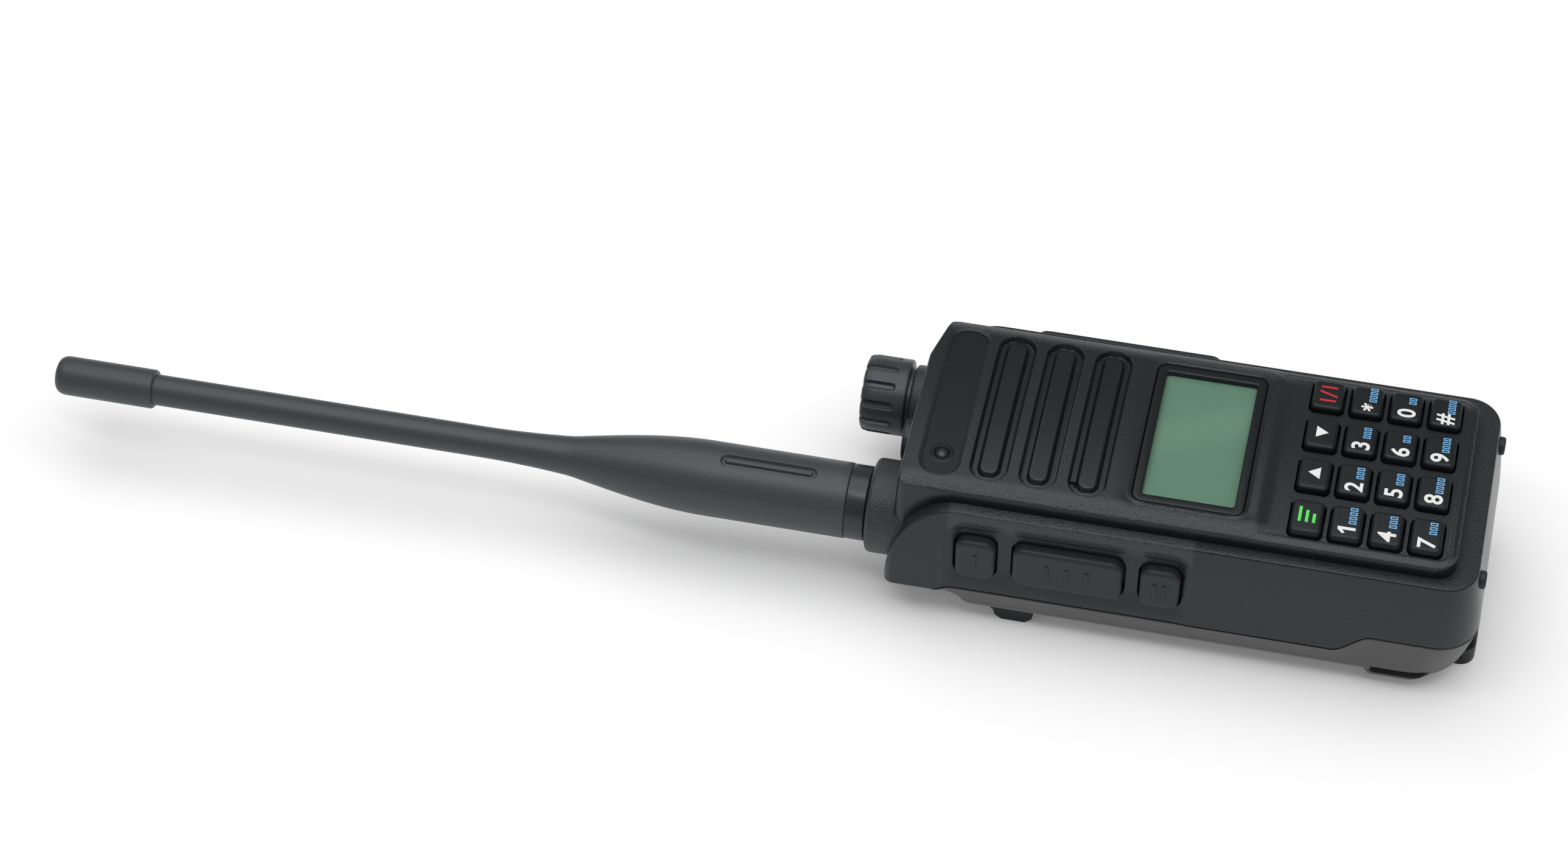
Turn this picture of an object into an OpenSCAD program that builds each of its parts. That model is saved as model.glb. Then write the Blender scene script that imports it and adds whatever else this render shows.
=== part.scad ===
// Handheld two-way radio, lying on its back with the front face up.
// +X points from the antenna to the keypad end, +Y to the accessory cover, +Z up.
// The push-to-talk side faces -Y. Sizes are in millimetres.

/* [Body] */
// Length of the case from its top end to its bottom end
body_len = 115; // [112:0.5:124]
// Width over the side pods
body_w = 53; // [52:0.5:58]
// Width of the rim ledge beside the narrower core that carries the front face
rim_w = 3.5; // [3:0.1:3.7]
// Height of the front face's crown above the surface that the radio lies on
crown_h = 38.3; // [37.5:0.1:42]
// Radius of the front face's crown across the width
crown_r = 232; // [200:1:400]
// Drop of the front face's side edges below the crown
shoulder_drop = 2.3; // [1.9:0.1:2.8]
// Slope of the shoulders along the front face's sides, in degrees
shoulder_slope = 30; // [22:1:40]
// Drop of the rim ledge below the crown
rim_drop = 5.3; // [4.8:0.1:6.5]
// Outward slope of the top end wall, from the crown to the lower edge
end_draft = 2; // [0.5:0.1:3]
// Wall thickness of the case
wall = 2; // [1.6:0.1:2.2]
// Thickness of the front face at its crown
face_t = 3.1; // [2.9:0.1:3.6]
// Length of the sweep that brings the side pods down at the top end
sweep_len = 12.5; // [9:0.5:14]
// Corner radius of the pods at the bottom end
corner_r = 7; // [5:0.5:9]
// Cut of the corner beside the knob, along the length
slant_len = 3; // [1:0.5:5]
// Cut of the corner beside the knob, across the width
slant_w = 12; // [8:0.5:15]

/* [Parting line] */
// Height of the parting line between case and battery
split_h = 11.3; // [10.8:0.1:12]
// Height of the case's lower edge at the top end
lip_h = 9.6; // [9.2:0.1:10.4]
// Rise of the parting line at the heel
split_rise = 5.1; // [4:0.1:5.5]
// Distance of the middle of that rise from the bottom end
rise_from_end = 23; // [18:0.5:28]
// Length of that rise
rise_len = 7.5; // [5:0.5:10]
// Gap along the parting line
split_gap = 0.5; // [0.3:0.05:0.7]

/* [Slots] */
// Distance of the indicator window's and the speaker slots' ends from the core's sides
slot_side_margin = 3.15; // [3:0.05:5]
// Width of each slot
slot_w = 7.4; // [6.6:0.1:8]
// Distance between slots
slot_pitch = 9.8; // [9:0.1:10]
// Distance of the indicator window's centre line from the top end
slot_x = 7.2; // [6.5:0.1:8]
// Depth of the slots below the front face
slot_depth = 1.2; // [0.8:0.1:1.4]
// Width of the raised rib in each speaker slot
rib_w = 4.6; // [3.6:0.1:5]
// Drop of the raised ribs below the front face
rib_drop = 0.25; // [0.1:0.05:0.5]
// Diameter of the indicator light's dome
led_d = 3.4; // [2.6:0.1:4]
// Distance of the indicator light from the end of its window
led_inset = 5.35; // [4:0.05:8]

/* [Display] */
// Length of the display bezel, along the radio
bezel_len = 22.1; // [20:0.1:23]
// Distance of the display bezel from the core's sides
bezel_side_margin = 4.35; // [3.6:0.05:6]
// Distance of the bezel from the step before the keypad
bezel_gap = 3.8; // [3:0.1:4.4]
// Width of the bezel's border
bezel_border = 1.9; // [1.4:0.1:2.4]
// Corner radius of the bezel
bezel_r = 2; // [1.5:0.1:3]
// Thickness of the display module
module_t = 1.8; // [1.2:0.1:2]

/* [Keypad] */
// Distance of the step between display and keypad from the first key row
step_gap = 8.5; // [7.5:0.1:9.5]
// Height of that step
plate_step = 1; // [0.6:0.1:1.3]
// Distance of the keypad plate's edge from the bottom end
plate_inset = 5; // [4:0.1:6]
// Distance of the last key row's middle from the keypad plate's edge
key_end_margin = 6.54; // [6.3:0.02:8]
// Distance between key rows
key_pitch_x = 7.82; // [7.7:0.02:7.9]
// Distance of the outer keys from the core's sides
key_side_margin = 2.4; // [2.2:0.1:3]
// Size of a key along the radio
key_len = 6.3; // [5.4:0.1:6.4]
// Size of a key across the radio
key_w = 8.2; // [7.4:0.1:8.6]
// Corner radius of a key
key_r = 1; // [0.6:0.1:1.4]
// Chamfer round a key's top
key_chamfer = 0.6; // [0.3:0.05:0.8]
// Height of the keys above the front face's crown
key_rise = 0.5; // [0.2:0.1:1]
// Travel of a key
key_travel = 0.6; // [0.4:0.05:0.7]

/* [Side keys] */
// Distance of the push-to-talk button's middle from the top end
ptt_x = 35; // [34:0.5:37]
// Length of the push-to-talk button
ptt_len = 22; // [19:0.5:23]
// Length of the two smaller side keys
side_key_len = 8; // [6:0.5:9]
// Distance of the smaller keys from the push-to-talk button
side_key_pitch = 18.5; // [17.5:0.5:20]
// Height of the three side keys
side_key_h = 10.4; // [9:0.1:11]
// Height of their middle above the surface that the radio lies on
side_key_z = 20.8; // [20.4:0.1:22]
// Travel of the side keys
side_travel = 0.8; // [0.5:0.1:1]
// How far the side keys stand out of the pods
side_proud = 0.5; // [0.2:0.1:0.8]
// Depth of the panel that the side keys sit in
panel_depth = 1.1; // [0.6:0.1:1.2]
// Corner radius of that panel
panel_r = 3; // [2:0.1:4]
// Chamfer round the outer faces of the side keys and of the accessory cover
side_chamfer = 0.5; // [0.3:0.05:0.6]
// Margin of that panel around the keys, along the radio
panel_margin = 2.4; // [1.5:0.1:3]

/* [Accessory cover] */
// Distance of the accessory cover from the top end
cover_x = 17.8; // [17:0.1:20]
// Length of the accessory cover
cover_len = 39.8; // [30:0.1:42]
// Height of the accessory cover
cover_h = 14; // [11:0.5:14.5]
// Thickness of the accessory cover
cover_t = 1.7; // [1.4:0.1:1.8]
// How far the cover stands out of the pod
cover_proud = 0.5; // [0.2:0.1:0.8]
// Diameter of the larger jack
jack_d1 = 3.5; // [3:0.1:3.6]
// Diameter of the smaller jack
jack_d2 = 2.5; // [2:0.1:2.6]
// Distance between the jacks
jack_pitch = 10; // [8:0.5:12]

/* [Top end] */
// Distance of the knob's and the antenna's axes from the pods' sides
control_inset = 11.5; // [11:0.1:12]
// Height of those axes above the surface that the radio lies on
control_z = 19.4; // [19.4:0.1:21]
// Diameter of the volume knob
knob_d = 16; // [13:0.5:17]
// Length of the volume knob
knob_len = 9.2; // [7:0.1:12]
// Gap between the knob and its collar
knob_gap = 0.8; // [0.4:0.1:1]
// Length of the collar under the knob
collar_len = 3.9; // [2:0.1:5]
// Diameter of the collar under the knob
collar_d = 14.4; // [12:0.1:15]
// Number of grip slots round the knob
knob_slots = 12; // [8:1:14]
// Diameter of the volume control's shaft
shaft_d = 6; // [4:0.1:6]
// Diameter of the lamp lens between knob and antenna
lamp_d = 6.4; // [5:0.1:7]
// How far the lamp's ring stands out of the top end
lamp_len = 3; // [2:0.1:3.5]
// Height of the lamp's middle
lamp_z = 23.4; // [22:0.1:26]

/* [Antenna] */
// Diameter of the textured boss that carries the antenna
boss_d = 19.2; // [17:0.1:19.4]
// Length of that boss
boss_len = 6.6; // [4:0.1:8]
// Diameter of the antenna's base
base_d = 15.4; // [12:0.1:17]
// Length of the smooth ferrule at the base
ferrule_len = 4.1; // [3:0.1:6]
// Length of the straight part of the rubber base
straight_len = 29; // [24:0.5:36]
// Length of the taper above it
taper_len = 28.5; // [20:0.5:40]
// Length of the slender neck where the taper runs out
neck_len = 19.5; // [12:0.5:30]
// Diameter at the foot of the neck
neck_d = 8.2; // [7:0.1:9]
// Diameter of the whip
whip_d = 6.4; // [5:0.1:7]
// Length of the whip from the neck to the cap
whip_len = 69; // [40:1:150]
// Diameter of the cap
cap_d = 8.1; // [7.2:0.1:10]
// Length of the cap
cap_len = 21; // [12:0.5:26]
// Diameter of the threaded socket
socket_d = 6.35; // [5:0.05:7]
// Diameter of the core rod
core_d = 1.6; // [1:0.1:2.4]
// Length of the raised bar on the base
bar_len = 19.5; // [12:0.5:22]
// Width of the raised bar on the base
bar_w = 2.6; // [2:0.1:4]

/* [Battery] */
// Length of the sloped end of the battery
battery_slope = 6.5; // [4:0.5:7]
// Distance of the battery's end from the top end of the case
battery_x = 4.5; // [3:0.1:5.5]
// Draft of the battery's sides
battery_draft = 1; // [0.4:0.1:1.6]
// Chamfer along the battery's back edges
battery_chamfer = 2; // [1:0.1:2.4]
// Radius of the battery's lower end
heel_round = 4; // [3:0.1:4.4]
// Thickness of the battery's walls
battery_wall = 1.8; // [1.4:0.1:2.2]
// Length of the heel's lobes
heel_len = 16; // [12:0.5:18]
// Drop of the heel's lobes below the battery's back
heel_drop = 2; // [1:0.1:3.9]

/* [Belt clip] */
// Distance of the belt clip from the pods' sides
clip_inset = 11; // [10.5:0.5:13]
// Thickness of the belt clip
clip_t = 1.8; // [1.4:0.1:2]
// Room for the clip between the battery's back and the surface
clip_room = 4.3; // [4.2:0.1:4.6]
// How far the clip reaches past the bottom end
clip_overhang = 1.5; // [1.3:0.1:3]
// Distance of the bracket that carries the clip from the pods' sides
bracket_inset = 3.5; // [3:0.1:3.8]
// Length of the bracket
bracket_len = 9.1; // [8.5:0.1:10]
// Distance of the bracket from the top end
bracket_x = 19.6; // [19.4:0.1:21]
// Diameter of the hinge pin
pin_d = 1.6; // [1.2:0.1:1.8]
// Wire diameter of the clip's spring
spring_wire = 0.5; // [0.4:0.05:0.55]
// Number of curls of the clip's spring
spring_turns = 6; // [4:1:6]
// Distance between curls of the clip's spring
spring_pitch = 1; // [0.98:0.01:1.1]

/* [Clearances] */
// Gap around pieces that move
move_gap = 0.3; // [0.2:0.05:0.35]
// Gap around pieces that are seated
seat_gap = 0.1; // [0.05:0.05:0.15]
// Radial clearance of shafts and pins
run_gap = 0.05; // [0.03:0.01:0.08]

/* [Hidden] */
$fn = 48;
// Facets of the crown's long cylinder
crown_fn = 720;
// A little more than the object, for cuts that pass right through
over = 1;
rim_h = crown_h - rim_drop;
ceil_z = crown_h - face_t;
plate_end = body_len - plate_inset;
half_w = body_w / 2;
core_w = body_w - 2 * rim_w;
slot_len = core_w - 2 * slot_side_margin;
led_y = slot_len / 2 - led_inset;
key_cols = 4;
key_rows = 4;
key_pitch_y = (core_w - 2 * key_side_margin - key_w) / (key_cols - 1);
key_x = plate_end - key_end_margin - (key_rows - 1) * key_pitch_x;
step_x = key_x - step_gap;
bezel_w = core_w - 2 * bezel_side_margin;
bezel_x = step_x - bezel_gap - bezel_len;
control_y = half_w - control_inset;
clip_w = body_w - 2 * clip_inset;
bracket_w = body_w - 2 * bracket_inset;
core_half = core_w / 2;
// Inner half width behind the pods' walls
pod_in = half_w - wall * 1.15;
// Inner half width of the core
core_in = core_half - wall * 0.75;
// Height of the pods' hollow
pod_ceil = rim_h - wall - 0.5;
// Top of the case's own floor at the top end
floor_z = split_h + wall;
// Where the case's floor ends and the chassis begins
floor_end = 17;
// Length over which the case's lower edge rises to the parting line
lip_rise = 4;
lip_end = 7.5;

// Chassis
chassis_t = 2;
chassis_z = split_h + split_rise + 0.2;
chassis_top = chassis_z + chassis_t;
chassis_x0 = floor_end + seat_gap;
chassis_x1 = body_len - wall - move_gap;
// Ribs across the chassis
rib_x0 = 40;
rib_step = 16;
rib_half = 8;
rib_t = 1.2;
rib_h = 2.2;
screw_d = 2;
screw_head_d = 3.8;
screw_head_t = 1.2;
screw_boss_d = 5;
screw_len = 6;
// Distance of the front screws from the core's sides
screw_inset = 7.5;
// Place of each case screw, and the height that its boss reaches
screws = [
    for (s = [-1, 1]) each [
        [floor_end + screw_boss_d / 2, s * (core_in - screw_inset), ceil_z],
        [body_len - wall - 2.8, s * (core_in - 3.2), pod_ceil]]];

// Keys, from the ceiling down
flange_t = 0.8;
flange_w = 0.5;
key_z0 = ceil_z - move_gap / 2 - flange_t;
mat_t = 1;
mat_top = key_z0 - key_travel - move_gap / 2;
board_t = 1.2;
board_top = mat_top - mat_t;
board_z = board_top - board_t;
board_x0 = bezel_x - 0.8;
board_x1 = plate_end - wall - move_gap;
// Screening can under the main board
shield_inset = 11;
shield_side = 7.5;
shield_t = 3.5;
keys = ["function", "up", "down", "band", "1", "2", "3", "star", "4", "5", "6", "0", "7", "8", "9", "hash"];

// Speaker behind the slots
speaker_rim_t = 2.4;
speaker_rim_w = 1.5;
basket_t = 1.4;
magnet_t = 2.2;
magnet_share = 0.6;

// Microphone behind the last speaker slot
mic_d = 4;
mic_t = 2.2;
mic_hole_d = 1.2;
mic_x = slot_x + 3 * slot_pitch - slot_w * 0.4;
mic_y = led_y + 2;

// Display
window_drop = 0.5;
bezel_z = crown_h - 2;
ledge = 0.6;
module_z = board_top;

// Side keys
side_names = ["upper_side_key", "ptt_button", "lower_side_key"];
side_x = [ptt_x - side_key_pitch, ptt_x, ptt_x + side_key_pitch];
side_len = [side_key_len, ptt_len, side_key_len];
side_r = 2.2;
side_flange_t = 0.8;
side_flange_w = 0.6;
side_out = half_w + side_proud;
side_flange_y = pod_in - move_gap / 2;
// Inner end of the pods' hollow at the top end
pod_x0 = side_x[0] - side_key_len / 2 - side_flange_w - 1;
pod_x1 = body_len - rise_from_end - rise_len;
switch_y = side_flange_y - side_flange_t - side_travel - move_gap / 2;
switch_t = 2.4;
switch_size = 4.4;
switch_board_t = 1;
plunger_t = 0.6;
plunger_d = 2;
panel_x0 = side_x[0] - side_key_len / 2 - panel_margin;
panel_x1 = side_x[2] + side_key_len / 2 + panel_margin;
panel_z0 = side_key_z - side_key_h / 2 - 1.6;
panel_z1 = rim_h - 2.2;

// Accessory side
cover_out = half_w + cover_proud;
cover_in = cover_out - cover_t;
cover_floor = cover_in - seat_gap;
cover_z1 = rim_h - 0.6;
cover_z0 = cover_z1 - cover_h;
cover_r = 2.4;
// Finger grooves at the cover's free end
grip_depth = 0.5;
grip_inset = 3.6;
grip_pitch = 1.6;
grip_w = 0.7;
jack_mid_x = cover_x + cover_len / 2;
jack_z = (cover_z0 + cover_z1) / 2;
jack_len = 9;
jack_body_len = jack_pitch + 10;
jack_body_h = 9;

// Top end
socket_flange_d = 10;
bush_d = 9;
knob_x0 = -collar_len - knob_gap;
knob_x1 = knob_x0 - knob_len;
control_x = slant_len + wall + 0.2;
control_len = 8;
control_size = 11;
lamp_ring = 1.3;

// Antenna stations along -X
ferrule_x = -boss_len - move_gap;
sheath_x = ferrule_x - ferrule_len;
taper_x = sheath_x - straight_len;
neck_x = taper_x - taper_len;
whip_x = neck_x - neck_len;
cap_x = whip_x - whip_len;
tip_x = cap_x - cap_len;
cap_round = cap_d * 0.3;
cap_bevel = 0.6;
socket_len = 5;
core_end = cap_x - cap_len / 2;
bar_mid = sheath_x - 16.5;
bar_groove = 0.9;
bar_depth = 0.7;

// Battery
back_z = clip_room;
block_half = core_in - 0.5;
block_top = chassis_z - 0.8;
cell_x0 = 34;
cell_x1 = body_len - heel_round - 5;
cell_half = block_half - battery_wall;
cell_z0 = back_z + battery_wall;
lid_t = 1.6;
contact_x = 27;
contact_pitch = 8;
contact_t = 0.3;
lobe_x1 = body_len - heel_round - 0.5;
lobe_in = clip_w / 2 + 1.2;
groove_h = 2;

// Latch in the battery's back
latch_len = 5;
latch_w = 16;
latch_travel = 1.8;
latch_t = 1.6;
latch_x = battery_x + battery_slope + 1;
latch_z = back_z + 1.4;
tongue_len = 1.6;
tongue_w = 9;

// Belt clip
pin_x = bracket_x + bracket_len * 0.54;
pin_z = clip_room / 2;
barrel_r = pin_z - 0.3;
ear_in = clip_w / 2 + move_gap + 0.1;
clip_screw_y = ear_in + 4.6;
clip_screw_len = 4;
pin_half = ear_in + 2.2;
spring_r = pin_d / 2 + run_gap + spring_wire / 2 + 0.1;
spring_room = spring_turns * spring_pitch / 2 + spring_wire + 0.7;
leg_len = 7;
leg_top = pin_z - spring_r + spring_wire / 2;
tail_x = body_len + clip_overhang;
lip_t = 2.2;

// Bumpers on the bottom end
bumper_d = 3.7;
bumper_proud = 1.1;
bumper_inset = 8.5;
bumper_y = half_w - bumper_inset;
bumper_drop = 3.7;
bumper_z = rim_h - bumper_drop;

// The origin is under the middle of the whole object
mid_x = (tip_x + tail_x) / 2;

KEY_NODES = [for (k = keys) str("key_", k)];

// Helpers

// Moves the bench frame, whose x = 0 is the case's top end, to the object's origin.
module placed() {
    translate([-mid_x, 0, 0]) children();
}

// Extrudes a side outline (x, z) across the width, centred.
module along_y(w) {
    rotate([90, 0, 0]) translate([0, 0, -w / 2]) linear_extrude(w) children();
}

// Extrudes a cross-section (y, z) along the length.
module along_x(x0, x1) {
    translate([x0, 0, 0]) rotate([90, 0, 90]) linear_extrude(x1 - x0) children();
}

// Round bar along X.
module rod_x(x0, x1, y, z, d) {
    translate([min(x0, x1), y, z]) rotate([0, 90, 0]) cylinder(d = d, h = abs(x1 - x0));
}

// Round bar along Y.
module rod_y(x, y0, y1, z, d) {
    translate([x, min(y0, y1), z]) rotate([-90, 0, 0]) cylinder(d = d, h = abs(y1 - y0));
}

// Box from its two corners.
module block(low, high) {
    translate(low) cube(high - low);
}

// Rectangle with round corners, centred.
module rounded(size, r) {
    square([size[0] - 2 * r, size[1]], center = true);
    square([size[0], size[1] - 2 * r], center = true);
    for (sx = [-1, 1], sy = [-1, 1])
        translate([sx * (size[0] / 2 - r), sy * (size[1] / 2 - r)]) circle(r);
}

// Slot outline across the width.
module pill(length, width) {
    square([width, length - width], center = true);
    for (s = [-1, 1]) translate([0, s * (length - width) / 2]) circle(d = width);
}

// Outline from a0 to a1 and from the base b0 to the face b1, with its corners at the face cut off.
module blunt(a0, a1, b0, b1, c) {
    cut = b1 > b0 ? c : -c;
    polygon([[a0, b0], [a1, b0], [a1, b1 - cut], [a1 - c, b1], [a0 + c, b1], [a0, b1 - cut]]);
}

// Plan outline with one corner radius at each end.
module plan(x0, x1, w, r0, r1) {
    translate([x0 + r0, -w / 2]) square([x1 - x0 - r0 - r1, w]);
    translate([x0, r0 - w / 2]) square([r0, w - 2 * r0]);
    translate([x1 - r1, r1 - w / 2]) square([r1, w - 2 * r1]);
    for (s = [-1, 1]) {
        translate([x0 + r0, s * (w / 2 - r0)]) circle(r0);
        translate([x1 - r1, s * (w / 2 - r1)]) circle(r1);
    }
}

// Everything under the front face's crown, lowered by drop.
module under_crown(drop) {
    translate([-end_draft - over, 0, crown_h - drop - crown_r])
        rotate([0, 90, 0])
            cylinder(r = crown_r, h = body_len + end_draft + 2 * over, $fn = crown_fn);
}

// Smooth step from 0 to 1 as t goes from 0 to 1.
function ease(t) = (1 - cos(180 * min(1, max(0, t)))) / 2;

// Height of the parting line at x.
function split_at(x) =
    lip_h + (split_h - lip_h) * ease((x - lip_end) / lip_rise)
    + split_rise * ease((x - body_len + rise_from_end) / rise_len + 0.5);

split_steps = 8;
split_xs = concat(
    [-end_draft - over],
    [for (i = [0 : split_steps]) lip_end + lip_rise * i / split_steps],
    [for (i = [0 : split_steps]) body_len - rise_from_end + rise_len * (i / split_steps - 0.5)],
    [body_len + over]);

// Side outline of everything under the parting line, lowered by drop.
module under_split(drop) {
    polygon(concat(
        [[-end_draft - over, -over]],
        [for (x = split_xs) [x, split_at(x) - drop]],
        [[body_len + over, -over]]));
}

// Side outline of the pods: an elliptic sweep at the top end, the rim, the bottom end.
pod_steps = 12;
module pod_side() {
    polygon(concat(
        [for (i = [0 : pod_steps])
            let (a = 90 * i / pod_steps)
            [-end_draft + (sweep_len + end_draft) * (1 - cos(a)), lip_h + (rim_h - lip_h) * sin(a)]],
        [[body_len - 1, rim_h], [body_len, rim_h - 1.7], [body_len, lip_h]]));
}

// Case

module core_solid() {
    roof = core_half * tan(shoulder_slope);
    edge_z = crown_h - shoulder_drop;
    intersection() {
        along_y(core_w) polygon([
            [-end_draft, lip_h], [0, crown_h + over], [plate_end, crown_h + over], [plate_end, lip_h]]);
        linear_extrude(crown_h + over) difference() {
            plan(-end_draft, plate_end, core_w, 2, 4);
            polygon([
                [-end_draft - over, core_half - slant_w], [0, core_half - slant_w],
                [slant_len, core_half + over], [-end_draft - over, core_half + over]]);
        }
        along_x(-end_draft, plate_end) polygon([
            [-core_half, 0], [core_half, 0], [core_half, edge_z], [0, edge_z + roof], [-core_half, edge_z]]);
        union() {
            under_crown(plate_step);
            intersection() {
                under_crown(0);
                linear_extrude(crown_h + over) plan(-end_draft - over, step_x, core_w, 1, 5);
            }
        }
    }
}

module pod_solid() {
    intersection() {
        along_y(body_w) pod_side();
        linear_extrude(crown_h) plan(-end_draft, body_len, body_w, 2, corner_r);
    }
}

// Bosses on the top end for antenna, knob and lamp.
module end_bosses() {
    rod_x(wall, -boss_len, -control_y, control_z, boss_d);
    rod_x(wall, -collar_len, control_y, control_z, collar_d);
    rod_x(wall, -lamp_len, 0, lamp_z, lamp_d + 2 * lamp_ring);
}

module case_hollow() {
    translate([0, 0, floor_z]) linear_extrude(ceil_z - floor_z) polygon([
        [wall, -core_in], [wall, core_half - slant_w - wall], [slant_len + wall, core_in],
        [plate_end - wall, core_in], [plate_end - wall, -core_in]]);
    block([floor_end, -core_in, 0], [body_len - wall, core_in, pod_ceil]);
    block([pod_x0, -pod_in, split_h + wall], [pod_x1, pod_in, pod_ceil]);
}

module screw_bosses() {
    for (p = screws)
        translate([p[0], p[1], chassis_top]) cylinder(d = screw_boss_d, h = p[2] - chassis_top + 0.5);
}

module screw_pilots() {
    for (p = screws)
        translate([p[0], p[1], chassis_top - over])
            cylinder(d = screw_d + 2 * run_gap, h = screw_len + 2 * over);
}

// Ring-shaped recess of a speaker slot round its raised rib, with sound slits at both ends.
module speaker_slot(x) {
    slit = (slot_w - rib_w) / 2 * 0.7;
    translate([x, 0, 0]) {
        difference() {
            linear_extrude(crown_h + over) pill(slot_len, slot_w);
            under_crown_at(slot_depth);
            intersection() {
                linear_extrude(crown_h) pill(slot_len - slot_w + rib_w, rib_w);
                under_crown_at(rib_drop);
            }
        }
        for (s = [-1, 1])
            translate([0, s * (slot_len / 2 - slit), ceil_z])
                cube([rib_w * 0.7, slit, 2 * face_t], center = true);
    }
}

// The crown's cylinder, centred on the place where it is used.
module under_crown_at(drop) {
    translate([-slot_w, 0, crown_h - drop - crown_r])
        rotate([0, 90, 0]) cylinder(r = crown_r, h = 2 * slot_w, $fn = crown_fn);
}

module slot_cuts() {
    translate([slot_x, 0, 0]) difference() {
        linear_extrude(crown_h + over) pill(slot_len, slot_w);
        under_crown_at(slot_depth + seat_gap);
    }
    translate([slot_x, -led_y, ceil_z - over]) cylinder(d = led_d + 2 * seat_gap, h = face_t + 2 * over);
    for (i = [1 : 3]) speaker_slot(slot_x + i * slot_pitch);
    translate([mic_x, -mic_y, ceil_z - over]) cylinder(d = mic_hole_d, h = face_t + over);
}

module display_cuts() {
    mid = bezel_x + bezel_len / 2;
    inner = 2 * bezel_border + 2 * ledge;
    translate([mid, 0, bezel_z])
        linear_extrude(2 * face_t) rounded([bezel_len + 2 * seat_gap, bezel_w + 2 * seat_gap], bezel_r);
    translate([mid, 0, ceil_z - over])
        linear_extrude(2 * face_t) square([bezel_len - inner, bezel_w - inner], center = true);
}

function key_at(i) = [
    key_x + floor(i / key_cols) * key_pitch_x, (i % key_cols - (key_cols - 1) / 2) * key_pitch_y];

module key_cuts() {
    for (i = [0 : len(keys) - 1])
        translate([key_at(i)[0], key_at(i)[1], ceil_z - over])
            linear_extrude(face_t + 2 * over)
                rounded([key_len + 2 * move_gap, key_w + 2 * move_gap], key_r + move_gap);
}

// Side outline of a side key, grown by gap.
module side_outline(i, gap) {
    translate([side_x[i], side_key_z])
        rounded([side_len[i] + 2 * gap, side_key_h + 2 * gap], side_r + gap);
}

// Extrudes a side outline (x, z) from y0 to y1.
module between_y(y0, y1) {
    translate([0, y1, 0]) rotate([90, 0, 0]) linear_extrude(y1 - y0) children();
}

module side_cuts() {
    slope = 1.4;
    intersection() {
        between_y(-half_w - over, -half_w + panel_depth)
            translate([(panel_x0 + panel_x1) / 2, (panel_z0 + panel_z1) / 2])
                rounded([panel_x1 - panel_x0, panel_z1 - panel_z0], panel_r);
        along_x(panel_x0, panel_x1) polygon([
            [-half_w - over, panel_z0 - over], [-half_w + panel_depth, panel_z0],
            [-half_w + panel_depth, panel_z1 - slope], [-half_w - over, panel_z1 + slope / panel_depth]]);
    }
    for (i = [0 : 2]) between_y(-half_w - over, -pod_in + over) side_outline(i, move_gap);
}

module accessory_cuts() {
    block([cover_x - move_gap, cover_floor, cover_z0 - move_gap],
          [cover_x + cover_len + move_gap, half_w + over, cover_z1 + move_gap]);
    rod_y(jack_mid_x - jack_pitch / 2, pod_in - over, half_w, jack_z, jack_d1 + 1);
    rod_y(jack_mid_x + jack_pitch / 2, pod_in - over, half_w, jack_z, jack_d2 + 1);
}

module end_cuts() {
    rod_x(wall + over, -boss_len - over, -control_y, control_z, socket_d + 2 * seat_gap);
    rod_x(control_x + over, -collar_len - over, control_y, control_z, bush_d + 2 * seat_gap);
    rod_x(-lamp_len + 1.8, -lamp_len - over, 0, lamp_z, lamp_d + 2 * seat_gap);
}

module latch_slot() {
    block([latch_x - move_gap, -tongue_w / 2 - move_gap, 0],
          [latch_x + tongue_len + latch_travel + move_gap, tongue_w / 2 + move_gap, floor_z + over]);
}

module front_case() {
    color("#1b1c1e") difference() {
        union() {
            difference() {
                union() {
                    core_solid();
                    pod_solid();
                    end_bosses();
                }
                along_y(body_w + 2 * over) under_split(0);
                case_hollow();
            }
            screw_bosses();
        }
        screw_pilots();
        slot_cuts();
        display_cuts();
        key_cuts();
        side_cuts();
        accessory_cuts();
        end_cuts();
        latch_slot();
    }
}

module rear_chassis() {
    color("#8d9094") difference() {
        union() {
            block([chassis_x0, -core_in + seat_gap, chassis_z],
                  [chassis_x1, core_in - seat_gap, chassis_top]);
            for (x = [rib_x0 : rib_step : body_len - rib_step])
                block([x, -rib_half, chassis_top], [x + rib_t, rib_half, chassis_top + rib_h]);
        }
        translate([jack_mid_x, pod_in, jack_z]) block(
            [-jack_body_len / 2 - move_gap, -jack_len - move_gap, -jack_body_h / 2 - move_gap],
            [jack_body_len / 2 + move_gap, wall, jack_body_h]);
        for (p = screws)
            translate([p[0], p[1], chassis_z - over]) {
                cylinder(d = screw_d + 2 * seat_gap, h = chassis_t + 2 * over);
                cylinder(d = screw_head_d + 2 * seat_gap, h = over + screw_head_t);
            }
    }
}

module case_screws() {
    color("silver") for (p = screws)
        translate([p[0], p[1], chassis_z]) difference() {
            union() {
                cylinder(d = screw_head_d, h = screw_head_t);
                cylinder(d = screw_d, h = chassis_t + screw_len);
            }
            translate([0, 0, -over]) cylinder(d = 1.7, h = over + 0.7, $fn = 6);
        }
}

module indicator_window() {
    color("#0e1012") difference() {
        intersection() {
            translate([slot_x, 0, 0])
                linear_extrude(crown_h) pill(slot_len - 2 * seat_gap, slot_w - 2 * seat_gap);
            under_crown(0.1);
        }
        under_crown(slot_depth + seat_gap);
        translate([slot_x, -led_y, 0]) cylinder(d = led_d + 2 * seat_gap, h = crown_h);
    }
}

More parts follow.
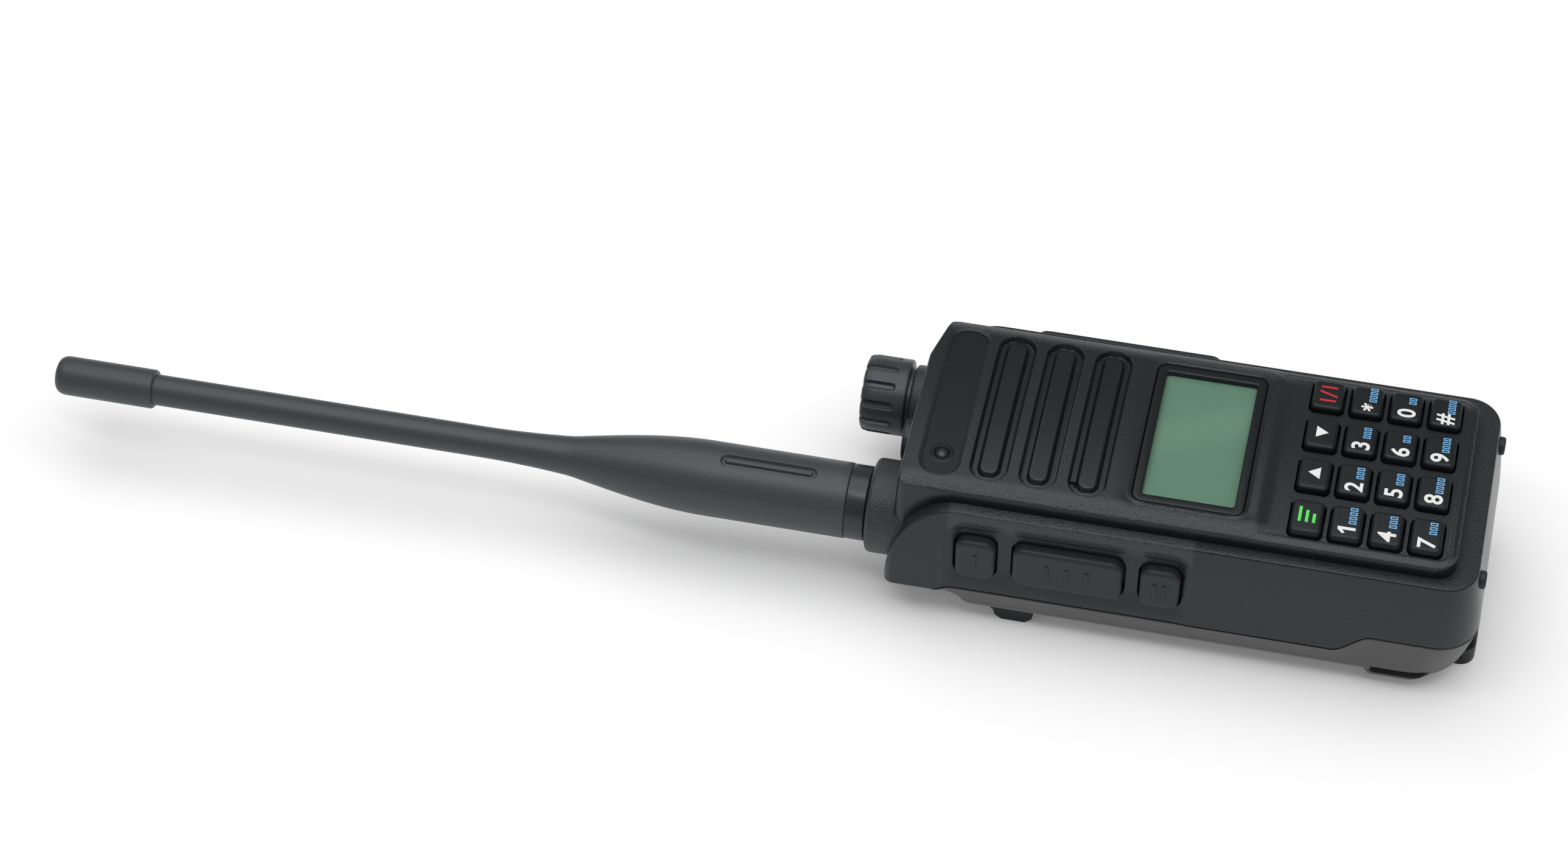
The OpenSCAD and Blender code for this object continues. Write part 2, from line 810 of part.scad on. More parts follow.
module indicator_light() {
    base = ceil_z - 0.4;
    top = crown_h - led_y * led_y / (2 * crown_r) - 0.1;
    color("#9aa0a0") translate([slot_x, -led_y, 0]) {
        translate([0, 0, base]) cylinder(d = led_d, h = top - base);
        translate([0, 0, base - 0.6]) cylinder(d = led_d + 1.4, h = 1);
        intersection() {
            translate([0, 0, top - led_d * 0.4]) sphere(d = led_d * 1.28);
            translate([0, 0, top - 0.1]) cylinder(d = led_d, h = led_d);
        }
    }
}

module display_bezel() {
    mid = bezel_x + bezel_len / 2;
    color("#101113") difference() {
        intersection() {
            translate([mid, 0, bezel_z])
                linear_extrude(2 * face_t) rounded([bezel_len, bezel_w], bezel_r);
            under_crown(0.2);
        }
        translate([mid, 0, 0]) linear_extrude(crown_h + over)
            square([bezel_len - 2 * bezel_border, bezel_w - 2 * bezel_border], center = true);
    }
}

module display_window() {
    mid = bezel_x + bezel_len / 2;
    inner = 2 * bezel_border + 2 * seat_gap;
    color("#c8d4cc", 0.35) intersection() {
        translate([mid, 0, bezel_z]) linear_extrude(2 * face_t)
            square([bezel_len - inner, bezel_w - inner], center = true);
        under_crown(window_drop);
    }
}

module display_module() {
    mid = bezel_x + bezel_len / 2;
    color("#658873") block(
        [mid - bezel_len / 2 + 1.3, -bezel_w / 2 + 1.3, module_z],
        [mid + bezel_len / 2 - 1.3, bezel_w / 2 - 1.3, module_z + module_t]);
}

// Sheet under the keys, with a nub under each one.
module keypad_mat() {
    x0 = step_x + 0.5;
    nub_gap = move_gap / 2;
    color("#2b2d2f") difference() {
        union() {
            block([x0, -core_in + move_gap, board_top], [board_x1, core_in - move_gap, mat_top]);
            for (i = [0 : len(keys) - 1])
                translate([key_at(i)[0], key_at(i)[1], mat_top - nub_gap])
                    cylinder(d = 3, h = nub_gap + 0.05);
        }
        for (p = screws)
            translate([p[0], p[1], board_top - over])
                cylinder(d = screw_boss_d + 2 * move_gap, h = mat_t + 3 * over);
    }
}

module main_board() {
    color("#1f5a3a") difference() {
        block([board_x0, -core_in + move_gap, board_z], [board_x1, core_in - move_gap, board_top]);
        for (p = screws)
            translate([p[0], p[1], board_z - over])
                cylinder(d = screw_boss_d + 2 * move_gap, h = board_t + 2 * over);
    }
}

module shield_can() {
    color("#b8bcc0") block(
        [board_x0 + shield_inset, -core_in + shield_side, board_z - shield_t],
        [board_x1 - shield_inset, core_in - shield_side, board_z]);
}

module speaker() {
    x = slot_x + 2 * slot_pitch;
    d = min(2 * (led_y - mic_d / 3), 2 * (board_x0 - x - over));
    color("#3a3a3c") translate([x, 0, ceil_z]) rotate([180, 0, 0]) {
        difference() {
            cylinder(d = d, h = speaker_rim_t);
            translate([0, 0, -over]) cylinder(d = d - 2 * speaker_rim_w, h = over + speaker_rim_t / 2);
        }
        translate([0, 0, speaker_rim_t]) cylinder(d1 = d, d2 = d * magnet_share, h = basket_t);
        translate([0, 0, speaker_rim_t + basket_t]) cylinder(d = d * magnet_share, h = magnet_t);
    }
}

module microphone() {
    color("#a8a49a") translate([mic_x, -mic_y, ceil_z - mic_t]) cylinder(d = mic_d, h = mic_t);
}

module side_switches() {
    board_in = switch_y - switch_t;
    half = switch_size / 2;
    color("#285a44") block(
        [panel_x0, -board_in, chassis_top], [panel_x1, -board_in + switch_board_t, pod_ceil - over]);
    color("silver") for (i = [0 : 2])
        translate([side_x[i], 0, side_key_z]) {
            block([-half, -switch_y + plunger_t, -half], [half, -board_in, half]);
            rod_y(0, -switch_y, -switch_y + plunger_t, 0, plunger_d);
        }
}

module side_key(i) {
    in = -side_flange_y + side_flange_t;
    x = side_x[i];
    z = side_key_z;
    color("#202123") {
        intersection() {
            between_y(-side_out, in) side_outline(i, 0);
            translate([0, 0, z]) linear_extrude(2 * side_key_h, center = true)
                blunt(x - side_len[i] / 2, x + side_len[i] / 2, in, -side_out, side_chamfer);
            along_x(x - side_len[i], x + side_len[i])
                mirror([1, -1]) blunt(z - side_key_h / 2, z + side_key_h / 2, in, -side_out, side_chamfer);
        }
        between_y(-side_flange_y, in) side_outline(i, side_flange_w);
    }
}

module volume_control() {
    color("#9b9ea2") difference() {
        union() {
            block([control_x, control_y - control_size / 2, control_z - control_size / 2 + 1],
                  [control_x + control_len, control_y + control_size / 2, control_z + control_size / 2 - 1]);
            rod_x(control_x, -collar_len + 0.3, control_y, control_z, bush_d);
        }
        rod_x(control_x + 4, -collar_len - over, control_y, control_z, shaft_d + 2 * run_gap);
    }
}

module volume_shaft() {
    color("#c4c6c8") rod_x(control_x + 3.7, knob_x1 + 3, control_y, control_z, shaft_d);
}

module volume_knob() {
    r = knob_d / 2;
    color("#1d1e20") translate([0, control_y, control_z]) difference() {
        translate([knob_x0, 0, 0]) rotate([0, -90, 0]) rotate_extrude() polygon([
            [0, 0], [r - 0.3, 0], [r, 0.3], [r, knob_len * 0.75], [r - 0.4, knob_len - 1.2],
            [r - 1.5, knob_len], [0, knob_len]]);
        rod_x(knob_x0 + over, knob_x1 + 3 - seat_gap, 0, 0, shaft_d + 2 * seat_gap);
        for (i = [0 : knob_slots - 1]) rotate([360 * i / knob_slots, 0, 0]) {
            block([knob_x1 - over, -0.65, r - 0.7], [knob_x0 - knob_len * 0.35, 0.65, r + over]);
            translate([knob_x0 - knob_len * 0.35, 0, r - 0.7]) cylinder(d = 1.3, h = 2);
        }
    }
}

module lamp_lens() {
    color("#d8dcda", 0.5) union() {
        rod_x(-lamp_len + 1.8, -lamp_len + 0.4, 0, lamp_z, lamp_d);
        translate([-lamp_len + 0.4, 0, lamp_z]) rotate([0, -90, 0])
            cylinder(d1 = lamp_d - 1, d2 = lamp_d - 2.6, h = 0.3);
    }
}

module antenna_socket() {
    color("#c8b27a") difference() {
        union() {
            rod_x(wall, ferrule_x - socket_len, -control_y, control_z, socket_d);
            rod_x(wall, wall + 2, -control_y, control_z, socket_flange_d);
        }
        rod_x(ferrule_x - 2, ferrule_x - socket_len - over, -control_y, control_z, core_d + 1.4);
    }
}

// Turns an outline (distance along the antenna, radius) round the antenna's axis.
module turned(start) {
    translate([start, -control_y, control_z]) rotate([0, -90, 0]) rotate_extrude() children();
}

module antenna_ferrule() {
    r = base_d / 2;
    bore = socket_d / 2 + run_gap;
    color("#17181a") turned(ferrule_x) polygon([
        [bore, 0], [r - 0.3, 0], [r, 0.3], [r, ferrule_len], [bore, ferrule_len]]);
}

module antenna_core() {
    color("#c8b27a") rod_x(ferrule_x - 2.6, core_end, -control_y, control_z, core_d);
}

// Taper that leaves the straight base softly and then runs straight.
taper_steps = 6;
function taper_ease(t) = t * t * (1.5 - 0.5 * t);

// Rubber outline: straight base, taper, slender neck, whip.
module antenna_sheath() {
    r = base_d / 2;
    bore = core_d / 2 + run_gap;
    mouth = socket_d / 2 + run_gap;
    depth = socket_len - ferrule_len + 0.3;
    l1 = straight_len;
    l2 = l1 + taper_len;
    l3 = l2 + neck_len;
    l4 = l3 + whip_len;
    top_z = control_z + r;
    color("#1a1b1d") difference() {
        turned(sheath_x) polygon([
            [mouth, 0], [r, 0],
            each [for (i = [0 : taper_steps])
                let (t = i / taper_steps) [r - (r - neck_d / 2) * taper_ease(t), l1 + taper_len * t]],
            each [for (i = [1 : taper_steps])
                let (t = i / taper_steps, flare = (neck_d - whip_d) / 2 * (1 - t) * (1 - t))
                [whip_d / 2 + flare, l2 + neck_len * t]],
            [whip_d / 2, l4], [bore, l4], [bore, depth + over], [mouth, depth]]);
        translate([bar_mid, -control_y, top_z - bar_depth]) rotate([0, 0, 90]) difference() {
            linear_extrude(bar_depth + over) pill(bar_len, bar_w);
            translate([0, 0, -over]) linear_extrude(bar_depth + 3 * over)
                pill(bar_len - 2 * bar_groove, bar_w - 2 * bar_groove * 0.6);
        }
    }
}

module antenna_cap() {
    r = cap_d / 2;
    bore = core_d / 2 + run_gap;
    color("#1a1b1d") turned(cap_x) polygon([
        [bore, 0], [r - cap_bevel, 0], [r, cap_bevel],
        each [for (a = [0 : 18 : 90])
            [r - cap_round * (1 - cos(a)), cap_len - cap_round * (1 - sin(a))]],
        [0, cap_len], [0, cap_len / 2], [bore, cap_len / 2]]);
}

module accessory_jack() {
    color("#2a2a2c") difference() {
        block([jack_mid_x - jack_body_len / 2, pod_in - jack_len, jack_z - jack_body_h / 2],
              [jack_mid_x + jack_body_len / 2, pod_in, jack_z + jack_body_h / 2]);
        rod_y(jack_mid_x - jack_pitch / 2, pod_in - jack_len + 1.5, pod_in + over, jack_z, jack_d1);
        rod_y(jack_mid_x + jack_pitch / 2, pod_in - jack_len + 1.5, pod_in + over, jack_z, jack_d2);
    }
}

module accessory_cover() {
    mid_z = (cover_z0 + cover_z1) / 2;
    color("#1d1e20") difference() {
        intersection() {
            between_y(cover_in, cover_out) translate([cover_x + cover_len / 2, mid_z])
                rounded([cover_len, cover_h], cover_r);
            translate([0, 0, mid_z]) linear_extrude(2 * cover_h, center = true) {
                translate([cover_x + cover_t / 2, cover_in + cover_t / 2]) circle(d = cover_t);
                blunt(cover_x + cover_t / 2, cover_x + cover_len, cover_in, cover_out, side_chamfer);
                translate([cover_x + cover_t / 2, cover_in]) square([cover_t, cover_t]);
            }
            along_x(cover_x, cover_x + cover_len)
                mirror([1, -1]) blunt(cover_z0, cover_z1, cover_in, cover_out, side_chamfer);
        }
        between_y(cover_out - grip_depth, cover_out + over) for (i = [0 : 3])
            translate([cover_x + cover_len - grip_inset - i * grip_pitch, mid_z])
                square([grip_w, cover_h - 2 * grip_inset], center = true);
    }
}

module base_bumpers() {
    color("#141516") for (s = [-1, 1]) translate([body_len, s * bumper_y, bumper_z]) rotate([0, 90, 0]) {
        cylinder(d = bumper_d, h = bumper_proud - 0.4);
        translate([0, 0, bumper_proud - 0.4]) cylinder(d1 = bumper_d, d2 = bumper_d - 0.8, h = 0.4);
    }
}

module case_contacts() {
    color("#d0b060") for (i = [-1 : 1])
        translate([contact_x, i * contact_pitch, block_top + contact_t])
            cylinder(d = 1.8, h = chassis_z - block_top - contact_t);
}

// Battery

module battery_side() {
    arc = 6;
    polygon(concat(
        [[battery_x, lip_h - split_gap], [battery_x + battery_slope, back_z]],
        [for (i = [0 : arc])
            let (a = 90 * i / arc)
            [body_len - heel_round + heel_round * sin(a), back_z + heel_round - heel_round * cos(a)]],
        [[body_len, crown_h], [battery_x, crown_h]]));
}

module battery_section() {
    top = half_w - 0.2;
    low = top - battery_draft;
    polygon([
        [-top, crown_h], [-top, split_h], [-low, back_z + battery_chamfer], [battery_chamfer - low, back_z],
        [low - battery_chamfer, back_z], [low, back_z + battery_chamfer], [top, split_h], [top, crown_h]]);
}

module battery_outer() {
    intersection() {
        along_y(body_w) battery_side();
        along_x(0, body_len) battery_section();
        linear_extrude(crown_h) plan(battery_x, body_len, body_w, 5, corner_r);
        along_y(body_w) under_split(split_gap);
    }
}

// One of the two lobes that the heel stands on, beside the belt clip.
module heel_lobe() {
    low = back_z - heel_drop;
    out = half_w - 0.2 - battery_draft;
    intersection() {
        along_y(body_w) polygon([
            [lobe_x1 - heel_len, back_z + 0.5], [lobe_x1 - heel_len + 2, low],
            [lobe_x1 - 3.5, low], [lobe_x1, back_z + 0.5]]);
        along_x(0, body_len) polygon([
            [lobe_in, back_z + 0.5], [lobe_in, low], [out - 2.4, low],
            [out - battery_chamfer * 0.8, back_z + 0.5]]);
    }
}

module battery_shell() {
    color("#1b1c1e") difference() {
        union() {
            battery_outer();
            block([floor_end + move_gap, -block_half, back_z + battery_chamfer],
                  [body_len - wall - move_gap, block_half, block_top]);
            heel_lobe();
            mirror([0, 1, 0]) heel_lobe();
        }
        block([cell_x0 - move_gap, -cell_half, cell_z0], [cell_x1 + move_gap, cell_half, block_top + over]);
        block([cell_x0 - 1.5, -cell_half - 0.8, block_top - lid_t - seat_gap],
              [cell_x1 + 1.5, cell_half + 0.8, block_top + over]);
        for (i = [-1 : 1])
            translate([contact_x, i * contact_pitch, block_top - seat_gap]) linear_extrude(over)
                square([5 + 2 * seat_gap, 4 + 2 * seat_gap], center = true);
        for (s = [-1, 1]) translate([0, s * (half_w - battery_draft - 0.9), back_z + 0.1])
            block([lobe_x1 - heel_len + 2, -1.5, 0], [lobe_x1 - 3, 1.5, groove_h]);
        translate([latch_x, 0, latch_z]) block(
            [-move_gap, -latch_w / 2 - move_gap, -latch_z - over],
            [latch_len + latch_travel + move_gap, latch_w / 2 + move_gap, latch_t + move_gap]);
        latch_slot();
        for (s = [-1, 1]) translate([bracket_x + 2.6, s * clip_screw_y, back_z - over])
            cylinder(d = screw_d + 2 * run_gap, h = 2 * over + clip_screw_len);
    }
}

module battery_lid() {
    color("#26282a") block(
        [cell_x0 - 1.5 + seat_gap, -cell_half - 0.8 + seat_gap, block_top - lid_t],
        [cell_x1 + 1.5 - seat_gap, cell_half + 0.8 - seat_gap, block_top]);
}

module battery_cells() {
    color("#5a7fa8") for (s = [-1, 1])
        block([cell_x0, s > 0 ? 0.3 : -cell_half + 0.3, cell_z0],
              [cell_x1, s > 0 ? cell_half - 0.3 : -0.3, block_top - lid_t - 0.2]);
}

module battery_contacts() {
    color("#d0b060") for (i = [-1 : 1]) translate([contact_x, i * contact_pitch, block_top - seat_gap])
        linear_extrude(contact_t + seat_gap) square([5, 4], center = true);
}

module battery_latch() {
    ridge = 0.7;
    color("#232527") {
        block([latch_x, -latch_w / 2, latch_z], [latch_x + latch_len, latch_w / 2, latch_z + latch_t]);
        for (i = [0 : 2])
            block([latch_x + 1 + i * 1.5, -latch_w / 2 + 2, latch_z - ridge],
                  [latch_x + 1.7 + i * 1.5, latch_w / 2 - 2, latch_z + 0.1]);
        block([latch_x, -tongue_w / 2, latch_z + 0.1], [latch_x + tongue_len, tongue_w / 2, split_h + 1.2]);
    }
}

// Belt clip

module clip_bracket() {
    x1 = bracket_x + bracket_len;
    color("#121314") difference() {
        union() {
            block([bracket_x, -bracket_w / 2 + 1, leg_top + 0.3],
                  [bracket_x + 2.2, bracket_w / 2 - 1, back_z]);
            for (s = [-1, 1]) between_y(s > 0 ? ear_in : -bracket_w / 2, s > 0 ? bracket_w / 2 : -ear_in)
                polygon([[bracket_x, back_z], [bracket_x + 1, 1], [bracket_x + 2.4, 0],
                         [x1 - 2, 0], [x1 - 0.6, 1.2], [x1, back_z]]);
        }
        rod_y(pin_x, -pin_half - 0.2, pin_half + 0.2, pin_z, pin_d + 2 * run_gap);
        for (s = [-1, 1]) translate([bracket_x + 2.6, s * clip_screw_y, -over]) {
            cylinder(d = screw_d + 2 * seat_gap, h = back_z + 2 * over);
            cylinder(d = screw_head_d + 2 * seat_gap, h = over + 0.4 + screw_head_t);
        }
    }
}

module clip_screws() {
    color("silver") for (s = [-1, 1]) translate([bracket_x + 2.6, s * clip_screw_y, 0.4]) difference() {
        union() {
            cylinder(d = screw_head_d, h = screw_head_t);
            cylinder(d = screw_d, h = back_z + clip_screw_len);
        }
        translate([0, 0, -over]) cylinder(d = 1.7, h = over + 0.7, $fn = 6);
    }
}

module clip_pin() {
    color("silver") rod_y(pin_x, -pin_half, pin_half, pin_z, pin_d);
}

// Spring: a leg under the clip, the curls round the pin, a leg under the bracket.
spring_rings = 8;
spring_y0 = spring_turns * spring_pitch / 2;
spring_path = concat(
    [[pin_x + leg_len, -spring_y0, pin_z - spring_r], [pin_x + 0.6, -spring_y0, pin_z - spring_r]],
    [for (i = [0 : spring_turns * spring_rings])
        let (a = 270 - 360 * i / spring_rings)
        [pin_x + spring_r * cos(a), -spring_y0 + spring_pitch * i / spring_rings, pin_z + spring_r * sin(a)]],
    [[pin_x - 0.6, spring_y0, pin_z - spring_r], [bracket_x + 0.4, spring_y0, pin_z - spring_r]]);
spring_last = len(spring_path) - 1;
spring_sides = 6;

function unit(v) = v / norm(v);
function spring_dir(i) = unit(spring_path[min(i + 1, spring_last)] - spring_path[max(i - 1, 0)]);
// Across the wire: along the pin, made square to the path
function spring_side(i) = let (t = spring_dir(i)) unit([0, 1, 0] - t * t[1]);
function spring_ring(i) =
    let (s = spring_side(i), u = cross(spring_dir(i), s))
    [for (k = [0 : spring_sides - 1])
        let (a = 360 * k / spring_sides)
        spring_path[i] + (s * cos(a) + u * sin(a)) * spring_wire / 2];

spring_self_gap = min([for (i = [0 : spring_last], j = [0 : spring_last])
    if (j > i + spring_rings / 2) norm(spring_path[i] - spring_path[j])]) - spring_wire;
echo(clip_spring_least_gap = spring_self_gap);

module clip_spring() {
    n = spring_sides;
    points = [for (i = [0 : spring_last]) each spring_ring(i)];
    walls = [for (i = [0 : spring_last - 1], k = [0 : n - 1])
        let (a = i * n + k, b = i * n + (k + 1) % n)
        each [[a, b, a + n], [b, b + n, a + n]]];
    first = [for (k = [1 : n - 2]) [0, k + 1, k]];
    last = [for (k = [1 : n - 2]) [spring_last * n, spring_last * n + k, spring_last * n + k + 1]];
    color("silver") polyhedron(points = points, faces = concat(walls, first, last));
}

module belt_clip() {
    leg_slot = spring_wire + 0.5;
    color("#141516") difference() {
        union() {
            rod_y(pin_x, -clip_w / 2, clip_w / 2, pin_z, 2 * barrel_r);
            linear_extrude(clip_t) plan(pin_x - 0.6, tail_x, clip_w, 0.4, 3);
            intersection() {
                along_y(clip_w) polygon([
                    [tail_x - lip_t - 2.5, 0], [tail_x, 0],
                    [tail_x, clip_room - 0.6], [tail_x - 0.5, clip_room - 0.1],
                    [tail_x - lip_t, clip_room - 0.1], [tail_x - lip_t - 0.4, clip_t]]);
                linear_extrude(clip_room) plan(pin_x, tail_x, clip_w, 0.4, 3);
            }
            for (s = [-1, 1]) block(
                [pin_x + 14, s * clip_w / 4 - 1, 0], [tail_x - 14, s * clip_w / 4 + 1, clip_t + 0.5]);
        }
        rod_y(pin_x, -clip_w / 2 - over, clip_w / 2 + over, pin_z, pin_d + 2 * run_gap);
        block([pin_x - barrel_r - over, -spring_room, -over],
              [pin_x + barrel_r + 0.4, spring_room, clip_room + over]);
        block([pin_x, -spring_y0 - leg_slot / 2, -over],
              [pin_x + leg_len + 0.6, -spring_y0 + leg_slot / 2, clip_room + over]);
    }
}

// Keys

// Height of the keys' tops at y, which follow the crown
function key_top(y) = crown_h + key_rise - y * y / (2 * crown_r);

module key_cap(i) {
    at = key_at(i);
    c = key_chamfer;
    x0 = at[0] - key_len / 2;
    x1 = at[0] + key_len / 2;
    y0 = at[1] - key_w / 2;
    y1 = at[1] + key_w / 2;
    top = key_top(at[1]);
    color("#2c2e30") {
        intersection() {
            translate([at[0], at[1], key_z0]) linear_extrude(crown_h + key_rise + over - key_z0)
                rounded([key_len, key_w], key_r);
            under_crown(-key_rise);
            along_y(body_w) polygon([
                [x0, key_z0], [x1, key_z0], [x1, top - c], [x1 - c, top], [at[0], top + over],
                [x0 + c, top], [x0, top - c]]);
            along_x(x0, x1) polygon([
                [y0, key_z0], [y1, key_z0], [y1, key_top(y1) - c], [y1 - c, key_top(y1 - c)],
                [at[1], top + over], [y0 + c, key_top(y0 + c)], [y0, key_top(y0) - c]]);
        }
        translate([at[0], at[1], key_z0])
            linear_extrude(flange_t) rounded([key_len + 2 * flange_w, key_w + 2 * flange_w], key_r);
    }
}

placed() front_case();
placed() rear_chassis();
placed() case_screws();
placed() indicator_window();
placed() indicator_light();
placed() display_bezel();
placed() display_window();
placed() display_module();
placed() keypad_mat();
placed() main_board();
placed() shield_can();
placed() speaker();
placed() microphone();
placed() side_switches();
placed() volume_control();
placed() volume_shaft();
placed() volume_knob();
placed() lamp_lens();
placed() antenna_socket();
placed() antenna_ferrule();
placed() antenna_core();
placed() antenna_sheath();
placed() antenna_cap();
placed() accessory_jack();
placed() accessory_cover();
placed() base_bumpers();
placed() case_contacts();
placed() battery_shell();
placed() battery_lid();
placed() battery_cells();
placed() battery_contacts();
placed() battery_latch();
placed() clip_bracket();
placed() clip_screws();
placed() clip_pin();
placed() clip_spring();
placed() belt_clip();
for (i = [0 : len(side_names) - 1])
    placed() side_key(i);
for (i = [0 : len(keys) - 1])
    placed() key_cap(i);
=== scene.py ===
"""Handheld two-way radio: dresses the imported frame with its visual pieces.

Shapes are worked out in bench millimetres: x = 0 is the case's top end and grows towards the keypad end,
y grows towards the accessory cover, and z = 0 is the surface that the radio lies on.
"""

import logging
import math
from dataclasses import dataclass, field
from enum import Enum, StrEnum
from functools import cached_property
from typing import Callable, Protocol, Self, Sequence

import bmesh
import bpy
import numpy as np
from mathutils import Matrix, Vector


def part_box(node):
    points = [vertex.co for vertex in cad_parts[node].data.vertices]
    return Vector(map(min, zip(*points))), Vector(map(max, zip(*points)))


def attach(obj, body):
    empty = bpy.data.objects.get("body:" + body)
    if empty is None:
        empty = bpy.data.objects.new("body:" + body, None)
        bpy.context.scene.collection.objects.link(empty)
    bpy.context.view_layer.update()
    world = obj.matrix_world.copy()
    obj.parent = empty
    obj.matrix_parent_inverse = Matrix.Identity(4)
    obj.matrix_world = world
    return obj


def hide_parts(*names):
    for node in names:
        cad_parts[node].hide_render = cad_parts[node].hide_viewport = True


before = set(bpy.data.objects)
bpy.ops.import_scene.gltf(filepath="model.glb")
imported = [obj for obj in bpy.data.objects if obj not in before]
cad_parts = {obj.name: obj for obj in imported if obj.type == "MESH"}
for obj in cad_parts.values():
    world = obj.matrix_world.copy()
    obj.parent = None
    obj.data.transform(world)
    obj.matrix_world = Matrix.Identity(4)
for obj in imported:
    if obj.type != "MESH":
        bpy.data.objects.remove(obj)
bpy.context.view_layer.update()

LOG = logging.getLogger("radio")
MM = 0.001
QUARTER = math.pi / 2.0
FULL = 2.0 * math.pi
BODY_LEN = 115.0
# The battery's far end is the case's bottom end, which ties the bench to the scene.
BENCH_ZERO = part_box("battery_shell")[1].x / MM - BODY_LEN
SIDES = (-1.0, 1.0)

Array = np.ndarray
Height = Callable[[Array, Array], Array]
Pair = tuple[float, float]
Triple = tuple[float, float, float]
Outline = list[Pair]
Piece = bpy.types.Object
Socket = bpy.types.NodeSocket
Feed = float | tuple[float, ...] | Socket


class Facing(Enum):
    """Which way a raised cap faces: the bench axes of its length, width and height."""

    FRONT = ((1, 0, 0), (0, 1, 0), (0, 0, 1))
    TALK_SIDE = ((1, 0, 0), (0, 0, 1), (0, -1, 0))
    COVER_SIDE = ((1, 0, 0), (0, 0, 1), (0, 1, 0))


class Body(StrEnum):
    """CAD bodies that pieces ride on, apart from the keys, which share their body's name."""

    CASE = "case"
    KNOB = "knob"
    ANTENNA = "antenna"
    CLIP = "belt_clip"
    LATCH = "battery_latch"
    COVER = "accessory_cover"


class Slot(StrEnum):
    """Material slots of the record."""

    CASE = "case_plastic"
    SOFT = "soft_black"
    GLOSS = "gloss_black"
    KEYS = "key_rubber"
    ANTENNA = "antenna_rubber"
    DISPLAY = "display_green"
    CLEAR = "clear"
    STEEL = "steel"
    ALLOY = "alloy"
    BRASS = "brass"
    BOARD = "board_green"


# Shape helpers


def ease(t: Array) -> Array:
    """Smooth step: t squared times (3 - 2 t), with t held between 0 and 1."""
    t = np.clip(t, 0.0, 1.0)
    return t * t * (3.0 - 2.0 * t)


def rise(value: Array, stretch: Pair) -> Array:
    """Eased climb from 0 at a stretch's start to 1 at its end."""
    return ease((value - stretch[0]) / (stretch[1] - stretch[0]))


def inside(distance: Array, width: float, inset: float = 0.0) -> Array:
    """Soft mask of an outline moved in by an inset: 1 inside, 0 outside, eased over a width at its edge."""
    return ease(0.5 - (distance + inset) / width)


def ridge(distance: Array, middle: float, half: float) -> Array:
    """Soft ridge along an outline: 1 at the middle distance, eased to 0 at half either side."""
    return ease(1.0 - np.abs(distance - middle) / half)


def span(ends: Pair) -> Pair:
    """Middle and half length of a stretch, from its two ends."""
    return (ends[0] + ends[1]) / 2.0, (ends[1] - ends[0]) / 2.0


def full_turn(count: int) -> Array:
    """Evenly spaced angles round a full turn, without the closing one."""
    return np.arange(count) * (FULL / count)


def flat_top(height: float) -> Height:
    """Height of a flat top: the same at every point."""
    return lambda length, width: np.full_like(length, height)


def pill_distance(x: Array, y: Array, mid: float, half_len: float, half_w: float) -> Array:
    """Signed distance to a slot across the face: distance to its centre line less its half width."""
    return np.hypot(x - mid, np.maximum(np.abs(y) - half_len + half_w, 0.0)) - half_w


def box_distance(x: Array, y: Array, half_x: float, half_y: float, radius: float) -> Array:
    """Signed distance to a rectangle with round corners: the length of what is past a corner's centre.

    Args:
        x: Coordinate along its first side, from its middle.
        y: Coordinate along its second side, from its middle.
        half_x: Half of the first side.
        half_y: Half of the second side.
        radius: Radius of the corners.

    Returns:
        Distances, negative inside.
    """
    over_x = np.abs(x) - half_x + radius
    over_y = np.abs(y) - half_y + radius
    outer = np.hypot(np.maximum(over_x, 0.0), np.maximum(over_y, 0.0))
    return outer + np.minimum(np.maximum(over_x, over_y), 0.0) - radius


def smooth_min(a: Array, b: Array, blend: float) -> Array:
    """Lower of two heights, with their crease rounded by a parabola of the blend's width."""
    t = np.clip(0.5 + 0.5 * (b - a) / blend, 0.0, 1.0)
    return b + (a - b) * t - blend * t * (1.0 - t)


@dataclass(frozen=True)
class Spacing:
    """Spacing of grid lines: coarse everywhere, and fine within a reach on both sides of each edge."""

    coarse: float
    fine: float
    reach: float

    def lines(self, low: float, high: float, edges: Sequence[float]) -> Array:
        """Grid lines from low to high, rounded to a lattice of the fine spacing.

        Args:
            low: First line.
            high: Last line.
            edges: Places that need fine lines.

        Returns:
            Sorted line positions.
        """
        fine = self.fine
        wide = np.arange(low, high, self.coarse)
        near = (np.asarray(edges)[:, None] + np.arange(-self.reach, self.reach + fine, fine)).ravel()
        inner = np.round(np.concatenate([wide, near]) / fine) * fine
        inner = np.unique(np.round(inner, 4))
        margin = fine * 0.6
        return np.concatenate([[low], inner[(inner > low + margin) & (inner < high - margin)], [high]])


